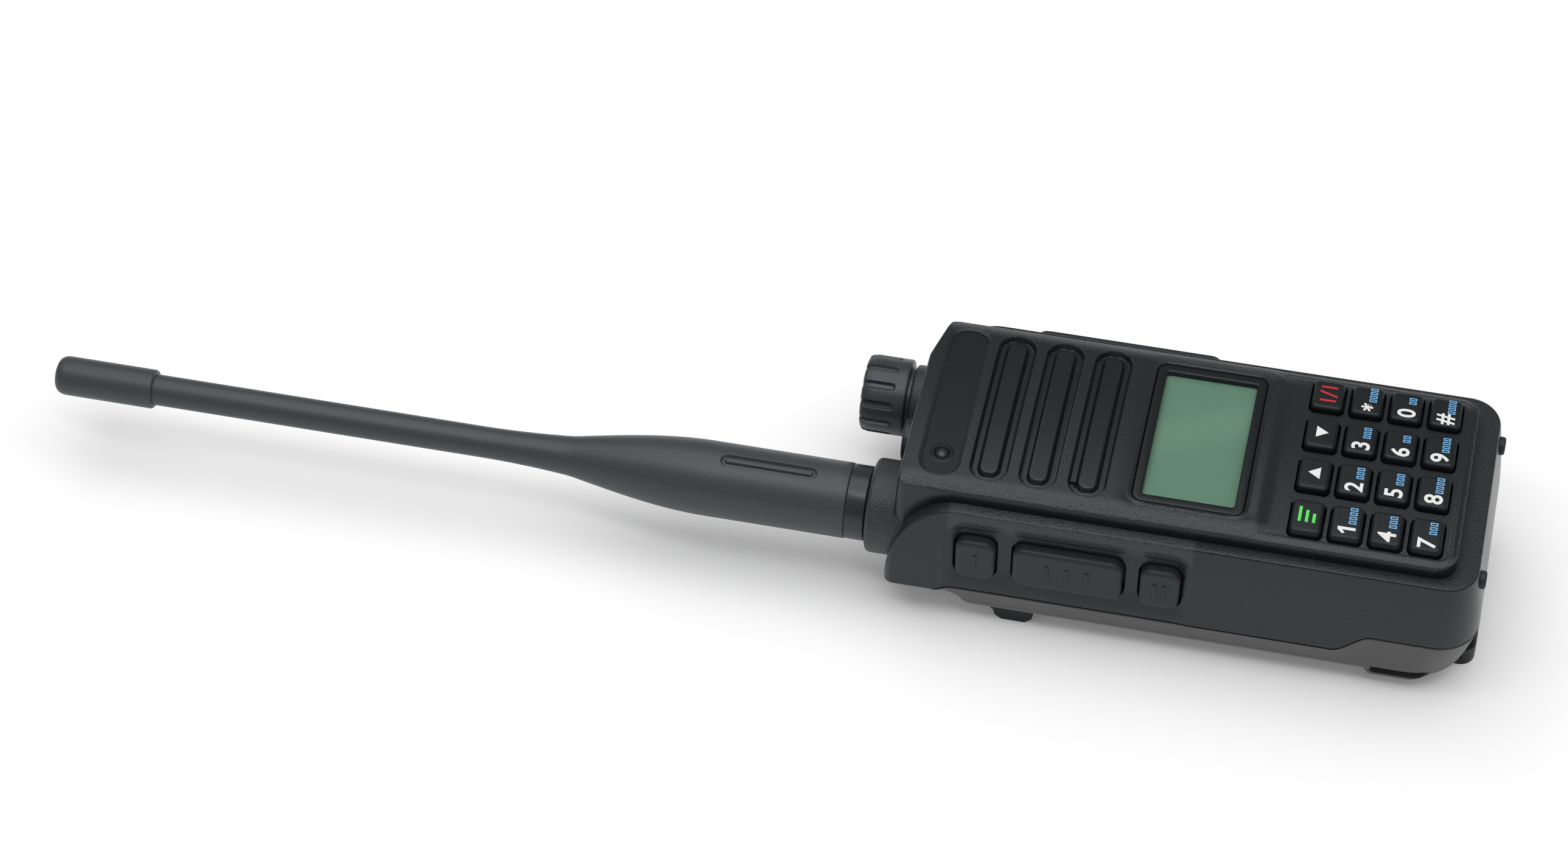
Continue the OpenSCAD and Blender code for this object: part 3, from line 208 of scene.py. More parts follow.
def ring(
    low: Array, high: Array, half: Array, r_low: Array, r_high: Array, per_corner: int, per_side: int
) -> Array:
    """Closed loops of rectangles with round corners, one loop per row.

    A corner is its centre plus radius times (cos t, sin t) over a quarter turn, and each side is divided
    evenly.

    Args:
        low: Lower end of each loop along its length, as a column.
        high: Upper end of each loop along its length, as a column.
        half: Half width of each loop, as a column.
        r_low: Corner radius at the lower end.
        r_high: Corner radius at the upper end.
        per_corner: Steps round a corner.
        per_side: Steps along a side.

    Returns:
        Array of shape (loops, points, 2).
    """
    turn = np.linspace(0.0, QUARTER, per_corner + 1)
    top, foot = (high - r_high, r_high), (low + r_low, r_low)
    corners = []
    for k, ((centre, radius), side) in enumerate([(top, 1.0), (foot, 1.0), (foot, -1.0), (top, -1.0)]):
        angle = turn + k * QUARTER
        length = centre + radius * np.cos(angle)
        width = side * (half - radius) + radius * np.sin(angle)
        corners.append(np.stack([length, width], axis=-1))
    share = np.linspace(0.0, 1.0, per_side + 1)[1:-1][None, :, None]
    parts = []
    for corner, following in zip(corners, corners[1:] + corners[:1]):
        parts.append(corner)
        parts.append(corner[:, -1:] * (1.0 - share) + following[:, :1] * share)
    return np.concatenate(parts, axis=1)


def rounded_profile(points: Sequence[Triple], steps: int = 5) -> Array:
    """Profile with its corners rounded.

    A corner (a, b, cut) becomes a parabola that leaves both sides at the cut's distance from the corner.

    Args:
        points: Corners as (distance along the axis, radius, cut).
        steps: Points on each rounded corner, less one.

    Returns:
        Array of shape (points, 2).
    """
    t = np.linspace(0.0, 1.0, steps + 1)[:, None]
    out = []
    for k, (a, b, cut) in enumerate(points):
        here = np.array([a, b])
        if cut <= 0.0 or k in (0, len(points) - 1):
            out.append(here[None])
            continue
        before = np.array(points[k - 1][:2]) - here
        after = np.array(points[k + 1][:2]) - here
        start = here + before * min(cut / np.linalg.norm(before), 0.5)
        stop = here + after * min(cut / np.linalg.norm(after), 0.5)
        out.append((1.0 - t) ** 2 * start + 2.0 * t * (1.0 - t) * here + t * t * stop)
    return np.concatenate(out)


# Finishes


class NodeSheet:
    """Nodes of a material or of the surroundings, with short calls that add and join them."""

    NOISE_ROUGHNESS = 0.45

    def __init__(self, owner: bpy.types.Material | bpy.types.World) -> None:
        """Turns the owner's nodes on and keeps their tree."""
        owner.use_nodes = True
        self.tree = owner.node_tree

    def feed(self, node: bpy.types.Node, feeds: dict[str | int, Feed]) -> None:
        """Sets or links inputs of a node.

        Args:
            node: The node.
            feeds: For each input, by name or number, its constant or the output that is linked to it.
        """
        for key, value in feeds.items():
            if isinstance(value, Socket):
                self.tree.links.new(value, node.inputs[key])
            else:
                node.inputs[key].default_value = value

    def add(
        self, kind: str, feeds: dict[str | int, Feed] | None = None, output: str | int = 0, **settings: str
    ) -> Socket:
        """Adds a node.

        Args:
            kind: Its type, without the ShaderNode prefix.
            feeds: Its inputs, as for feed.
            output: Name or number of the output that is wanted.
            settings: Its other properties, which are set first.

        Returns:
            The wanted output.
        """
        node = self.tree.nodes.new(f"ShaderNode{kind}")
        for key, value in settings.items():
            setattr(node, key, value)
        self.feed(node, feeds or {})
        return node.outputs[output]

    @cached_property
    def place(self) -> Socket:
        """Object coordinates."""
        return self.add("TexCoord", output="Object")

    def noise(self, scale: float, detail: float) -> Socket:
        """Noise from 0 to 1 over Object coordinates, with cycles per metre and octaves of detail."""
        feeds = {"Vector": self.place, "Scale": scale, "Detail": detail, "Roughness": self.NOISE_ROUGHNESS}
        return self.add("TexNoise", feeds, "Fac")

    def remap(self, value: Socket, start: Pair, stop: tuple[Feed, Feed]) -> Socket:
        """Straight map of a value from one stretch to another, held at its ends."""
        ends = {"From Min": start[0], "From Max": start[1], "To Min": stop[0], "To Max": stop[1]}
        return self.add("MapRange", {"Value": value, **ends})

    def mix(self, share: Socket, first: Feed, second: Feed) -> Socket:
        """Mix of two colours by the share of the second."""
        return self.add("Mix", {"Factor": share, "A": first, "B": second}, "Result", data_type="RGBA")

    def surface(self, shader: Socket) -> None:
        """Makes a shader the material's surface, in place of the one that it starts with."""
        self.tree.nodes.remove(self.tree.nodes["Principled BSDF"])
        self.feed(self.tree.nodes["Material Output"], {"Surface": shader})


@dataclass(frozen=True)
class Surface:
    """What all finishes share: a name, a slot of the record, a linear colour and a material made once."""

    name: str
    slot: Slot
    colour: Triple

    ALPHA = 1.0

    def material(self) -> bpy.types.Material:
        """Makes the material at the first call and hands the same one out afterwards.

        Returns:
            The material.
        """
        made = bpy.data.materials.get(self.name)
        if made is None:
            made = bpy.data.materials.new(self.name)
            made.diffuse_color = (*self.colour, self.ALPHA)
            self.fill(NodeSheet(made))
        return made

    def fill(self, sheet: NodeSheet) -> None:
        """Adds a finish's own nodes to its material."""
        raise NotImplementedError


@dataclass(frozen=True)
class Finish(Surface):
    """One moulded, rubber, metal or printed surface.

    The grain is a bumped noise on Object coordinates. Where by_grain is set, the piece's own grain attribute
    weighs it, and grained places are rougher than smooth ones and paler on the grain's high points: a
    painted highlight that stands for light catching the grain.
    """

    roughness: float
    specular: float = 0.3
    metallic: float = 0.0
    tint: Triple = (1.0, 1.0, 1.0)
    grain_mm: float = 0.3
    grain_depth_mm: float = 0.0
    grain_detail: float = 1.5
    by_grain: bool = False
    # Painted highlight: the paler colour on the grain's high points, its noise thresholds and its least
    # share in the grain's low points.
    highlight_colour: Triple = (0.046, 0.048, 0.0505)
    highlight_range: Pair = (0.25, 0.75)
    highlight_floor: float = 0.35
    smooth_by: float = 0.16
    wear: float = 0.05
    wear_scale: float = 90.0
    dust: float = 0.0
    dust_colour: Triple = (0.25, 0.26, 0.27)
    dust_range: Pair = (0.78, 0.84)
    dust_scale: float = 1500.0

    def fill(self, sheet: NodeSheet) -> None:
        """Sets the shader's constants, then feeds it the tone, the wear and the grain's bump.

        Args:
            sheet: The material's nodes.
        """
        shader = sheet.tree.nodes["Principled BSDF"]
        sheet.feed(shader, {
            "Base Color": (*self.colour, 1.0), "Metallic": self.metallic, "Roughness": self.roughness,
            "Specular IOR Level": self.specular, "Specular Tint": (*self.tint, 1.0)})
        share = sheet.add("Attribute", output="Fac", attribute_name="grain") if self.by_grain else None
        sheet.feed(shader, {
            "Base Color": self._tone(sheet, share), "Roughness": self._wear(sheet, share)})
        if self.grain_depth_mm > 0.0:
            sheet.feed(shader, {"Normal": self._bump(sheet, share)})

    def _grain(self, sheet: NodeSheet) -> Socket:
        """Fine noise of the grain's size."""
        return sheet.noise(1.0 / (self.grain_mm * MM), self.grain_detail)

    def _tone(self, sheet: NodeSheet, share: Socket | None) -> Feed:
        """Colour: a painted highlight that is paler on the grain's high points, with sparse pale dust specks
        where a noise passes a high mark.

        Args:
            sheet: The material's nodes.
            share: Share of the grain, if it varies.

        Returns:
            The colour, which is a constant where nothing varies it.
        """
        colour: Feed = (*self.colour, 1.0)
        if share is not None:
            # Painted highlight on the grain, weighed by the grain's share.
            highlight_peaks = sheet.remap(self._grain(sheet), self.highlight_range, (self.highlight_floor, 1.0))
            highlight_weight = sheet.add("Math", {0: share, 1: highlight_peaks}, operation="MULTIPLY")
            colour = sheet.mix(highlight_weight, colour, (*self.highlight_colour, 1.0))
        if self.dust > 0.0:
            specks = sheet.remap(sheet.noise(self.dust_scale, 1.0), self.dust_range, (0.0, self.dust))
            colour = sheet.mix(specks, colour, (*self.dust_colour, 1.0))
        return colour

    def _wear(self, sheet: NodeSheet, share: Socket | None) -> Socket:
        """Roughness: varied by a broad noise, as handling does, and lower where the grain is less.

        Args:
            sheet: The material's nodes.
            share: Share of the grain, if it varies.

        Returns:
            The roughness.
        """
        middle = self.roughness if share is None else self.roughness - self.smooth_by
        ends = (max(middle - self.wear, 0.02), min(middle + self.wear, 1.0))
        level = sheet.remap(sheet.noise(self.wear_scale, 3.0), (0.0, 1.0), ends)
        if share is None:
            return level
        return sheet.add("Math", {0: share, 1: self.smooth_by, 2: level}, operation="MULTIPLY_ADD")

    def _bump(self, sheet: NodeSheet, share: Socket | None) -> Socket:
        """Bump of the grain's size and depth, weighed by its share.

        Args:
            sheet: The material's nodes.
            share: Share of the grain, if it varies.

        Returns:
            The bumped normal.
        """
        height = self._grain(sheet)
        if share is not None:
            height = sheet.add("Math", {0: height, 1: share}, operation="MULTIPLY")
        return sheet.add(
            "Bump", {"Height": height, "Strength": 1.0, "Distance": self.grain_depth_mm * MM}, "Normal")


@dataclass(frozen=True)
class DisplayGreen(Surface):
    """Unlit display: sage green with one faint lighter band that runs slantwise across it, a painted
    reflection.
    """

    name: str = "display_sage"
    slot: Slot = Slot.DISPLAY
    colour: Triple = (0.146, 0.268, 0.190)
    # Paler green of the painted reflection band.
    light: Triple = (0.176, 0.303, 0.214)
    roughness: float = 0.5
    specular: float = 0.25
    reflection_mm: float = 15.0
    reflection_at: Pair = (56.6, -5.0)
    reflection_turn: float = 24.0
    reflection_peak: float = 0.55

    def fill(self, sheet: NodeSheet) -> None:
        """Feeds the shader the painted reflection: a lighter band, a ramp over slanted Object coordinates.

        Args:
            sheet: The material's nodes.
        """
        slanted = sheet.add(
            "Mapping",
            {
                "Vector": sheet.place,
                "Location": ((BENCH_ZERO + self.reflection_at[0]) * MM, self.reflection_at[1] * MM, 0.0),
                "Rotation": (0.0, 0.0, math.radians(self.reflection_turn)),
                "Scale": (1.0, self.reflection_mm * MM, 1.0),
            },
            vector_type="TEXTURE")
        across = sheet.add("SeparateXYZ", {"Vector": slanted}, "Y")
        band = sheet.add("ValToRGB", {"Fac": across}, "Color")
        ramp = band.node.color_ramp
        ramp.interpolation = "EASE"
        for end in ramp.elements:
            end.color = (*self.colour, 1.0)
        ramp.elements.new(self.reflection_peak).color = (*self.light, 1.0)
        sheet.feed(sheet.tree.nodes["Principled BSDF"], {
            "Base Color": band, "Roughness": self.roughness, "Specular IOR Level": self.specular})


@dataclass(frozen=True)
class ClearPlastic(Surface):
    """Thin clear plastic: light passes straight through, and it mirrors more at a glancing view."""

    name: str = "clear_plastic"
    slot: Slot = Slot.CLEAR
    colour: Triple = (0.93, 0.95, 0.94)
    roughness: float = 0.06
    mirror: Pair = (0.012, 0.6)
    steepness: float = 4.0

    ALPHA = 0.3

    def fill(self, sheet: NodeSheet) -> None:
        """Makes the surface a mix of transparent and glossy shaders, by the view's angle.

        Args:
            sheet: The material's nodes.
        """
        through = sheet.add("BsdfTransparent", {"Color": (*self.colour, 1.0)})
        gloss = sheet.add("BsdfGlossy", {"Roughness": self.roughness})
        edge = sheet.add("LayerWeight", output="Facing")
        steep = sheet.add("Math", {0: edge, 1: self.steepness}, operation="POWER")
        share = sheet.remap(steep, (0.0, 1.0), self.mirror)
        sheet.surface(sheet.add("MixShader", {"Fac": share, 1: through, 2: gloss}))


COOL = (0.88, 0.96, 1.0)
CASE_BLACK = Finish(
    "case_black", Slot.CASE, (0.0058, 0.0072, 0.0086), roughness=0.42, specular=0.38, tint=COOL,
    grain_mm=0.42, grain_depth_mm=0.16, by_grain=True, dust=0.25)
PANEL_BLACK = Finish(
    "panel_black", Slot.GLOSS, (0.0058, 0.0070, 0.0082), roughness=0.42, specular=0.28, tint=COOL,
    grain_depth_mm=0.02, dust=0.4)
KNOB_BLACK = Finish(
    "knob_black", Slot.SOFT, (0.0330, 0.0365, 0.0390), roughness=0.36, specular=0.50, tint=COOL,
    grain_depth_mm=0.02, dust=0.2)
# Battery plastic: paler than the case, partly its own lighter plastic and partly a painted reflection of the
# pale floor on its sides.
BATTERY_PALE_PAINTED_SHEEN = Finish(
    "battery_black", Slot.CASE, (0.0660, 0.0665, 0.0675), roughness=0.40, specular=0.50, grain_mm=0.4,
    grain_depth_mm=0.03, dust=0.15)
ANTENNA_RUBBER = Finish(
    "whip_rubber", Slot.ANTENNA, (0.0420, 0.0465, 0.0505), roughness=0.42, specular=0.48, tint=COOL,
    grain_mm=0.25, grain_depth_mm=0.02, dust=0.15)
FERRULE_BLACK = Finish(
    "ferrule_black", Slot.ANTENNA, (0.0200, 0.0220, 0.0240), roughness=0.30, specular=0.45, tint=COOL)
KEY_RUBBER = Finish(
    "key_caps", Slot.KEYS, (0.0062, 0.0076, 0.0088), roughness=0.42, specular=0.32, tint=COOL,
    grain_depth_mm=0.02, dust=0.15)
SIDE_RUBBER = Finish(
    "side_rubber", Slot.SOFT, (0.0185, 0.0215, 0.0240), roughness=0.50, specular=0.36, tint=COOL,
    grain_depth_mm=0.02, dust=0.3)
BEZEL_GLOSS = Finish(
    "bezel_gloss", Slot.GLOSS, (0.0058, 0.0068, 0.0078), roughness=0.32, specular=0.30, tint=COOL)
CLIP_BLACK = Finish(
    "clip_black", Slot.SOFT, (0.0080, 0.0088, 0.0096), roughness=0.40, specular=0.32, tint=COOL,
    grain_depth_mm=0.02)
LEGEND_WHITE = Finish("legend_white", Slot.KEYS, (0.78, 0.78, 0.77), roughness=0.55)
LEGEND_BLUE = Finish("legend_blue", Slot.KEYS, (0.17, 0.42, 0.72), roughness=0.55)
LEGEND_GREEN = Finish("legend_green", Slot.KEYS, (0.10, 0.72, 0.10), roughness=0.55)
LEGEND_RED = Finish("legend_red", Slot.KEYS, (0.52, 0.025, 0.03), roughness=0.55)
STEEL = Finish("bright_steel", Slot.STEEL, (0.56, 0.57, 0.58), roughness=0.32, specular=0.5, metallic=1.0)
ALLOY = Finish("cast_alloy", Slot.ALLOY, (0.42, 0.43, 0.44), roughness=0.45, specular=0.5, metallic=1.0)
DARK_ALLOY = Finish("blackened_alloy", Slot.ALLOY, (0.02, 0.02, 0.021), roughness=0.45, specular=0.4)
BRASS = Finish("turned_brass", Slot.BRASS, (0.62, 0.47, 0.20), roughness=0.30, specular=0.5, metallic=1.0)
BOARD_GREEN = Finish("board_mask", Slot.BOARD, (0.015, 0.10, 0.045), roughness=0.45, specular=0.4)
CELL_BLUE = Finish("cell_blue", Slot.SOFT, (0.10, 0.21, 0.38), roughness=0.40, specular=0.4)
INNER_BLACK = Finish("inner_black", Slot.SOFT, (0.02, 0.02, 0.021), roughness=0.55)
LAMP_GREY = Finish("indicator_lamp", Slot.CLEAR, (0.03, 0.032, 0.033), roughness=0.22, specular=0.5)


# Meshes


def shade(mesh: bpy.types.Mesh, sharp: float) -> None:
    """Shades a mesh smooth, but for edges past an angle in degrees, which stay sharp."""
    mesh.shade_smooth()
    mesh.set_sharp_from_angle(angle=math.radians(sharp))


def weld(mesh: bpy.types.Mesh, distance: float, sharp: float) -> None:
    """Merges doubles, drops faces without area, points all normals outwards and shades smooth.

    Args:
        mesh: The mesh, which is changed in place.
        distance: Points nearer than this become one, in metres.
        sharp: Angle in degrees past which an edge is shaded sharp.
    """
    bm = bmesh.new()
    bm.from_mesh(mesh)
    bmesh.ops.remove_doubles(bm, verts=bm.verts, dist=distance)
    bmesh.ops.dissolve_degenerate(bm, edges=bm.edges, dist=distance)
    bmesh.ops.recalc_face_normals(bm, faces=bm.faces)
    bm.to_mesh(mesh)
    bm.free()
    shade(mesh, sharp)


def dress(piece: Piece, finish: Surface) -> Piece:
    """Gives a piece or a CAD node a finish.

    Args:
        piece: The piece.
        finish: Its surface.

    Returns:
        The same piece.
    """
    piece.data.materials.clear()
    piece.data.materials.append(finish.material())
    return piece


def mount(name: str, mesh: bpy.types.Mesh, body: str, finish: Surface, *nodes: str) -> Piece:
    """Makes a mesh a piece that rides on a body.

    Args:
        name: Piece name.
        mesh: Its mesh, in place.
        body: CAD body that it moves with.
        finish: Its surface.
        nodes: CAD nodes that it stands for, if any.

    Returns:
        The new piece.
    """
    piece = bpy.data.objects.new(name, mesh)
    bpy.context.scene.collection.objects.link(piece)
    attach(piece, str(body))
    if nodes:
        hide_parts(*nodes)
    return dress(piece, finish)


class Shell:
    """Collects the grids of one piece in bench millimetres and turns them into a closed mesh."""

    WELD = 2e-6
    SHARP = 38.0
    PER_CORNER = 6

    def __init__(self) -> None:
        """Starts with no points."""
        self._points: list[Array] = []
        self._grain: list[Array] = []
        self._faces: list[list[int]] = []
        self._count = 0

    def faces(self, ids: Array) -> None:
        """Adds faces between points that are there already, one face per row."""
        self._faces.extend(ids.tolist())

    def cap(self, ids: Array) -> None:
        """Closes a loop of points with one flat face."""
        self.faces(ids[None])

    def grid(self, points: Array, grain: float | Array = 1.0, around: bool = False) -> Array:
        """Adds a grid of points and the quads between them.

        Args:
            points: Array of shape (rows, columns, 3).
            grain: Share of the moulded grain at each point.
            around: Whether the last column joins the first.

        Returns:
            Point numbers of shape (rows, columns).
        """
        rows, columns = points.shape[:2]
        ids = self._count + np.arange(rows * columns).reshape(rows, columns)
        self._points.append(points.reshape(-1, 3))
        self._grain.append(np.broadcast_to(grain, (rows, columns)).ravel())
        self._count += rows * columns
        wide = np.concatenate([ids, ids[:, :1]], axis=1) if around else ids
        corners = [wide[:-1, :-1], wide[:-1, 1:], wide[1:, 1:], wide[1:, :-1]]
        self.faces(np.stack(corners, axis=-1).reshape(-1, 4))
        return ids

    def tube(self, rows: Array, grain: float | Array = 1.0, first: bool = True, last: bool = True) -> Self:
        """Adds closed loops as a tube.

        Args:
            rows: Array of shape (loops, points, 3).
            grain: Share of the moulded grain at each point.
            first: Whether the first loop is capped.
            last: Whether the last loop is capped.

        Returns:
            The shell itself.
        """
        ids = self.grid(rows, grain, around=True)
        if first:
            self.cap(ids[0])
        if last:
            self.cap(ids[-1])
        return self

    def lathe(
        self,
        start: float,
        profile: Array,
        middle: Pair,
        turns: Array,
        shape: Callable[[Array, Array, Array], Array] | None = None,
        grain: float = 1.0,
    ) -> Self:
        """Turns a profile round an axis along the radio: y = r sin t, z = r cos t about the middle.

        Args:
            start: Bench x of the profile's zero; distances run towards the antenna's tip.
            profile: Rows of (distance, radius).
            middle: Axis as (y, z).
            turns: Angles in radians, without the closing one.
            shape: Changes the radius from (distance, angle, radius).
            grain: Share of the moulded grain.

        Returns:
            The shell itself.
        """
        along = profile[:, :1]
        radius = np.broadcast_to(profile[:, 1:], (len(profile), len(turns)))
        if shape is not None:
            radius = shape(along, turns[None], radius)
        x = np.broadcast_to(start - along, radius.shape)
        y = middle[0] + radius * np.sin(turns)
        z = middle[1] + radius * np.cos(turns)
        return self.tube(np.stack([x, y, z], axis=-1), grain, profile[0, 1] > 0.0, profile[-1, 1] > 0.0)

    def cushion(
        self,
        facing: Facing,
        middle: Pair,
        half: Pair,
        radius: float,
        base: float,
        top: Height,
        fillet: float,
        rings: int = 6,
        grain: float = 0.3,
        per_side: int = 6,
    ) -> Self:
        """Adds a closed cap with round corners and a filleted top.

        Loops rise from the base, round the top edge over a quarter circle, and shrink to a centre line.

        Args:
            facing: Which way it faces.
            middle: Middle along its length and width.
            half: Half length and half width.
            radius: Corner radius.
            base: Height of its base.
            top: Height of its top as a function of length and width.
            fillet: Radius of its top edge.
            rings: Loops on its top.
            grain: Share of the moulded grain.
            per_side: Steps along a side.

        Returns:
            The shell itself.
        """
        short, long = min(half), max(half)
        arc = np.linspace(0.0, QUARTER, self.PER_CORNER)
        flat = np.linspace(fillet, short, rings + 1)[1:]
        inset = np.concatenate([[0.0], fillet * (1.0 - np.cos(arc)), flat])[:, None]
        drop = np.concatenate([[0.0], fillet * (1.0 - np.sin(arc)), np.zeros(rings)])[:, None]
        corner = np.maximum(radius - inset, 0.0)
        loops = ring(inset - short, short - inset, long - inset, corner, corner, self.PER_CORNER, per_side)
        length, width = loops[..., 0], loops[..., 1]
        if half[0] > half[1]:
            length, width = -width, length
        length = length + middle[0]
        width = width + middle[1]
        height = top(length, width) - drop
        height[0] = base
        rows = np.stack([length, width, height], axis=-1) @ np.array(facing.value, float)
        return self.tube(rows, grain, last=False)

    def piece(self, name: str, body: str, finish: Surface, *nodes: str) -> Piece:
        """Welds the grids into one mesh and mounts it.

        Args:
            name: Piece name.
            body: CAD body that it moves with.
            finish: Its surface.
            nodes: CAD nodes that it stands for, if any.

        Returns:
            The new piece.
        """
        points = np.concatenate(self._points) + np.array([BENCH_ZERO, 0.0, 0.0])
        mesh = bpy.data.meshes.new(name)
        mesh.from_pydata((points * MM).tolist(), [], self._faces)
        # The grain share also weighs the painted highlight in finishes that read it.
        grain = mesh.attributes.new("grain", "FLOAT", "POINT")
        grain.data.foreach_set("value", np.concatenate(self._grain).astype(np.float32))
        weld(mesh, self.WELD, self.SHARP)
        return mount(name, mesh, body, finish, *nodes)


class SubAssembly(Protocol):
    """A group of pieces that is built in one go."""

    def build(self) -> list[Piece]:
        """Builds the pieces, mounts them on their bodies and dresses them."""


# Case


@dataclass
class FrontFace:
    """The moulded core with its crowned face, shoulders, slots, display frame and key pits.

    An edge field holds the width that a cut's edge is eased over and how far the edge is moved in.
    """

    crown_h: float = 38.3
    crown_r: float = 232.0
    core_half: float = 23.0
    plate_end: float = 110.0
    plate_half: float = 40.0
    edge_drop: float = 2.3
    shoulder_slope: float = 30.0
    shoulder_soft: float = 0.7
    step_x: float = 71.5
    step_r: float = 5.0
    step_half: float = 60.0
    plate_step: float = 1.0
    step_soft: float = 3.2
    lip_rise: float = 0.28
    lip_in: float = 1.25
    lip_half: float = 0.9
    lip_line: float = 1.2
    slot_x: float = 7.2
    slot_pitch: float = 9.8
    slot_half_len: float = 19.85
    slot_half_w: float = 3.7
    slot_depth: float = 1.25
    slot_edge: Pair = (0.5, 0.1)
    strip_dish: float = 0.35
    strip_dish_edge: Pair = (1.0, -0.25)
    strip_edge: Pair = (0.12, 0.15)
    rib_half_w: float = 2.0
    rib_drop: float = 0.2
    rib_soft: float = 0.75
    bezel_mid: float = 56.65
    bezel_half: Pair = (11.05, 18.65)
    bezel_r: float = 2.0
    bezel_floor: float = 36.0
    bezel_soft: float = 0.1
    bezel_lines: Pair = (0.1, 0.8)
    dish_depth: float = 0.32
    dish_reach: float = 3.4
    bead_rise: float = 0.36
    bead_out: float = 0.5
    bead_half: float = 0.48
    key_x: float = 80.0
    key_pitch: Pair = (7.82, 11.0)
    key_half: Pair = (3.15, 4.1)
    key_gap: float = 0.4
    pit_r: float = 1.3
    pit_floor: float = 33.4
    pit_edge: Pair = (0.14, 0.08)
    mic: Pair = (33.64, -16.5)
    mic_r: float = 0.65
    mic_depth: float = 0.8
    mic_soft: float = 0.5
    slant_len: float = 3.0
    slant_w: float = 12.0
    slant_past: float = 1.0
    corner_r: float = 4.0
    top_corner_r: float = 1.2
    edge_r: float = 0.3
    end_draft: float = 2.0
    lip_z: float = 9.6
    hidden_z: float = 19.0
    hidden_x: Pair = (6.0, 14.0)
    steepest: float = 50.0
    # Grain shares below also weigh the painted highlight in the case's colour.
    shoulder_grain: Pair = (18.6, 20.8)
    plate_grain_loss: float = 0.5
    plate_grain_fade: float = 3.0
    flat_grain_and_highlight: float = 0.22
    slot_grain_loss: float = 0.6
    slot_grain_soft: float = 0.8
    edge_grain_and_highlight: float = 0.8
    wall_grain_and_highlight: float = 0.04
    grid: Spacing = Spacing(0.9, 0.19, 0.6)
    end_lines: tuple[float, ...] = (0.6, 1.7, 2.8, 3.9, 5.0)
    shoulder_lines: tuple[float, ...] = (16.0, 17.0, 18.0, 19.0, 20.0, 21.0, 21.9)
    end_blend: Pair = (6.0, 5.0)
    edge_rows: int = 7
    grained_rows: int = 4
    wall_rows: int = 12

    def crown(self, y: Array | float) -> Array | float:
        """Crown of the face: its top less y squared over twice its radius."""
        return self.crown_h - y * y / (2.0 * self.crown_r)

    def slot_mid(self, k: int) -> float:
        """Bench x of a slot's middle; slot 0 holds the indicator strip."""
        return self.slot_x + k * self.slot_pitch

    def key_middle(self, row: int, column: int) -> Pair:
        """Bench x and y of a key's middle."""
        return self.key_x + row * self.key_pitch[0], (column - 1.5) * self.key_pitch[1]

    def height(self, x: Array, y: Array) -> Array:
        """Height of the face over the plan.

        The crown drops at the step before the keypad, whose plate has a soft ridge along its outline, and
        meets the shoulders' slope. Soft masks of signed distances cut in the display's frame, the slots,
        their ribs and the key pits.

        Args:
            x: Bench x.
            y: Bench y.

        Returns:
            Heights in millimetres.
        """
        island = self._panel(x, y, self.step_x, self.step_half, self.step_r)
        on_plate = 1.0 - inside(island, self.step_soft)
        plate = self._panel(x, y, self.plate_end, self.plate_half, self.corner_r)
        lip = self.lip_rise * ridge(plate, -self.lip_in, self.lip_half)
        z = self.crown(y) - self.plate_step * on_plate + lip * on_plate
        edge_z = self.crown_h - self.edge_drop
        roof = edge_z + (self.core_half - np.abs(y)) * math.tan(math.radians(self.shoulder_slope))
        z = smooth_min(z, roof, self.shoulder_soft)
        z = self._cut_display(x, y, z)
        z = self._cut_slots(x, y, z)
        return self._cut_keys(x, y, z)

    def _panel(self, x: Array, y: Array, end: float, half: float, radius: float) -> Array:
        """Signed distance to a panel as wide as the core that ends at a bench x, with round corners."""
        return box_distance(x - end + half, y, half, self.core_half, radius)

    def _cut_display(self, x: Array, y: Array, z: Array) -> Array:
        """Soft dish and thin bead round the display's frame, and the frame's pocket.

        Args:
            x: Bench x.
            y: Bench y.
            z: Height so far.

        Returns:
            Height with the cuts.
        """
        outline = box_distance(x - self.bezel_mid, y, *self.bezel_half, self.bezel_r)
        dish = self.dish_depth * ease(1.0 - np.maximum(outline, 0.0) / self.dish_reach)
        z = z - dish + self.bead_rise * ridge(outline, self.bead_out, self.bead_half)
        return z + (self.bezel_floor - z) * inside(outline, self.bezel_soft)

    def _cut_slots(self, x: Array, y: Array, z: Array) -> Array:
        """Indicator strip's pocket, three slots that each hold a raised rib, and the microphone's hole.

        Args:
            x: Bench x.
            y: Bench y.
            z: Height so far.

        Returns:
            Height with the cuts.
        """
        strip = pill_distance(x, y, self.slot_x, self.slot_half_len, self.slot_half_w)
        z = z - self.strip_dish * inside(strip, *self.strip_dish_edge)
        z = z - self.slot_depth * inside(strip, *self.strip_edge)
        rib_half_len = self.slot_half_len - self.slot_half_w + self.rib_half_w
        for k in (1, 2, 3):
            slot = pill_distance(x, y, self.slot_mid(k), self.slot_half_len, self.slot_half_w)
            rib = pill_distance(x, y, self.slot_mid(k), rib_half_len, self.rib_half_w)
            z = z - self.slot_depth * inside(slot, *self.slot_edge)
            z = z + (self.slot_depth - self.rib_drop) * inside(rib, self.rib_soft)
        hole = np.hypot(x - self.mic[0], y - self.mic[1]) - self.mic_r
        return z - self.mic_depth * inside(hole, self.mic_soft)

    def _pit_distance(self, x: Array, y: Array) -> Array:
        """Signed distance to the edge of the nearest key's pit.

        Args:
            x: Bench x.
            y: Bench y.

        Returns:
            Distances, negative inside a pit.
        """
        row = np.clip(np.round((x - self.key_x) / self.key_pitch[0]), 0, 3)
        column = np.clip(np.round(y / self.key_pitch[1] + 1.5), 0, 3)
        mid_x, mid_y = self.key_middle(row, column)
        half_x, half_y = self.key_half
        return box_distance(x - mid_x, y - mid_y, half_x + self.key_gap, half_y + self.key_gap, self.pit_r)

    def _cut_keys(self, x: Array, y: Array, z: Array) -> Array:
        """Pits round the sixteen keys: steep walls just inside their edges."""
        return z + (self.pit_floor - z) * inside(self._pit_distance(x, y), *self.pit_edge)

